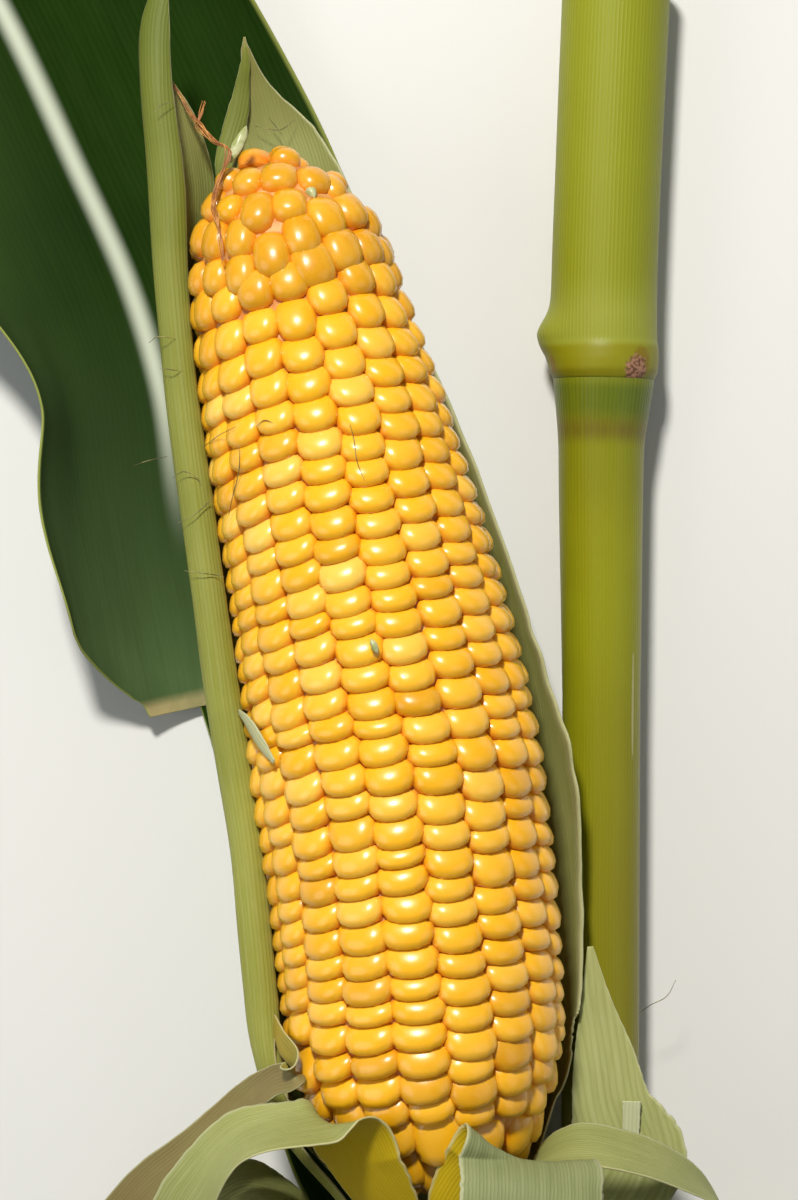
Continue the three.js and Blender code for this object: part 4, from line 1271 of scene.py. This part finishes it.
# silks, hairs and withered florets
# A strand runs through points in millimetres, or on the ear: distance from the base, turn in
# degrees.
silks = {
    "radius": 0.12, "lift": 0.3, "copies": 4, "stray": 0.4, "seed": 51,
    "deep": (0.30, 0.11, 0.03), "pale": (0.55, 0.25, 0.07),
    "lines": [
        [(-39.3, 89.3, 29.6), (-37.6, 86.7, 29.4), (-36.2, 84.4, 30), (-33.6, 80.9, 33),
         (-30.8, 77.8, 37.5), (-28.6, 75.9, 41.4), (177.5, -54), (174.7, -50), (172.3, -43),
         (170, -40), (167.4, -38), (165.3, -37)],
        [(-36.5, 84.2, 30), (-34.3, 81.9, 32), (-31.7, 78.6, 36.4), (-29.2, 76.4, 40.6),
         (178, -54), (174.2, -48)],
        [(-33.5, 86.1, 31.5), (-34.2, 84, 31), (-34.7, 81.8, 31.3), (-33.1, 79.7, 34)],
    ],
}
hairs = {
    "radius": 0.08, "lift": 0.3, "copies": 1, "stray": 0.0, "seed": 52,
    "deep": (0.07, 0.06, 0.02), "pale": (0.30, 0.26, 0.10),
    "lines": [
        [(137, -84), (137.4, -66), (138, -56), (138.5, -44)],
        [(137.6, -32), (138.3, -27), (137.5, -23)],
        [(124.6, -60), (127.4, -54), (131.4, -46), (135.2, -43)],
        [(124.6, 11), (128.2, 10), (131.6, 11), (134.4, 11)],
        [(-41.8, 83.5, 37.2), (-40.5, 84.7, 37.1), (-38.5, 85.3, 34.7)],
        [(-45.6, 23.1, 33.5), (-42.8, 23.9, 36), (-39.6, 24.5, 38)],
        [(-37.8, 13.2, 36.8), (-35, 14.5, 38.3), (-32.3, 17, 37.5), (-31.4, 18.3, 38.2)],
        [(-36.7, 5, 36.8), (-33.7, 4.6, 38.3), (-31, 4.2, 37.4), (-29.9, 3.9, 38.2)],
        [(-38.7, 20.9, 36.8), (-36.8, 21.9, 38.3), (-34.5, 20.9, 37.6), (-33.7, 19.2, 36.8)],
        [(-42.9, 44.1, 35), (-41.2, 45, 37.6), (-40, 44.9, 38), (-38, 44.6, 36.3)],
        [(-41, 39.7, 36.6), (-38.9, 39.3, 38.2), (-37.1, 39.1, 36.6)],
        [(-22.9, 84.8, 17), (-21.6, 83.2, 17), (-20.6, 81.7, 18)],
        [(-25.4, 83.5, 16), (-23, 82.8, 17.5), (-20.9, 82.6, 18), (-18.3, 84.6, 16)],
        [(49, -67.2, 13), (47.3, -70, 14), (44.3, -71.7, 13.5), (42.4, -73.2, 12.6)],
    ],
}
strands = {"steps": 36, "strayUp": 0.6, "thinEnd": 0.35, "rough": 0.5, "patch": 400.0}
florets = {
    # both ends and half width
    "blobs": [((-26, 81, 38.4), (-28.8, 74.4, 39.4), 1.0),
              ((-15.8, 70.6, 43.2), (-14.2, 68, 44.6), 1.0),
              ((-4.7, -6.4, 58.2), (-3.5, -8.8, 58.2), 0.6)],
    "pale": (0.46, 0.48, 0.26), "deep": (0.30, 0.33, 0.12), "rough": 0.35, "patch": 700.0,
    "taper": 0.55, "uneven": 0.25, "grain": 1.7, "flat": 0.7,
}


def strandPoint(spot, lift):
    if len(spot) == 3:
        return Vector(spot)
    at, across, skin, out = skinFrame(spot[0], math.radians(spot[1]))
    return at + out * lift


def makeStrands(name, look):
    deal = random.Random(look["seed"])
    steps, thin = strands["steps"], strands["thinEnd"]
    data = bpy.data.curves.new(name, "CURVE")
    data.dimensions = "3D"
    data.bevel_depth = look["radius"] * metresPerMm
    data.bevel_resolution = 1
    for spots in look["lines"]:
        for copy in range(look["copies"]):
            middles = [strandPoint(spot, look["lift"]) for spot in spots]
            for middle in middles:
                stray = Vector([deal.uniform(-1, 1) for axis in range(3)]) * look["stray"]
                stray.z = abs(stray.z) * strands["strayUp"]
                middle += stray
            spline = data.splines.new("POLY")
            spline.points.add(steps)
            places = tracedLine(middles, steps)["places"]
            for i, (point, place) in enumerate(zip(spline.points, places)):
                point.co = (*toFrame(place), 1.0)
                point.radius = thin + (1 - thin) * math.sin(math.pi * clamp(i / steps, 0.1, 0.9))
    data.materials.append(patchySkin(name + "Skin", strands["rough"], strands["patch"],
                                     look["deep"], look["pale"]))
    piece = addObject(name, data)
    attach(piece, "root")


def makeFlorets():
    bm = bmesh.new()
    for start, end, half in florets["blobs"]:
        start, end = Vector(start), Vector(end)
        length = (end - start).length
        along = (end - start).normalized()
        side = along.cross(skyward).normalized()
        up = side.cross(along)
        for vert in bmesh.ops.create_icosphere(bm, subdivisions=3, radius=1.0)["verts"]:
            x, y, z = vert.co
            lump = noise.noise(vert.co * florets["grain"] + start)
            slim = half * (1 - florets["taper"] * abs(y) ** 3) * (1 + florets["uneven"] * lump)
            vert.co = toFrame((start + end) / 2 + along * (y * length / 2) + side * (x * slim)
                              + up * (z * slim * florets["flat"]))
    faceOutward(bm)
    skin = patchySkin("floretSkin", florets["rough"], florets["patch"], florets["deep"],
                      florets["pale"])
    finishPiece(bm, "withered_florets", [skin], "pale_husk")


def makeFloor():
    look = {"colour": (0.66, 0.66, 0.64, 1.0), "size": 6.0, "rough": 0.8}
    bm = bmesh.new()
    bmesh.ops.create_grid(bm, x_segments=1, y_segments=1, size=look["size"] / 2)
    made = newMaterial("paleFloor", look["rough"], Base_Color=look["colour"])[0]
    addObject("floor", meshFrom(bm, "floor", [made]))


makeCamera()
makeLamps()
makeFloor()
print("stage set")
makeKernels()
makeCob()
print("ear made")
makeStalk()
makeUpperSheath()
makeShank()
print("stalk made")
makeLeaf()
print("leaf made")
makeHusks()
makeStrands("silks", silks)
makeStrands("hairs", hairs)
makeFlorets()
print("strands made")
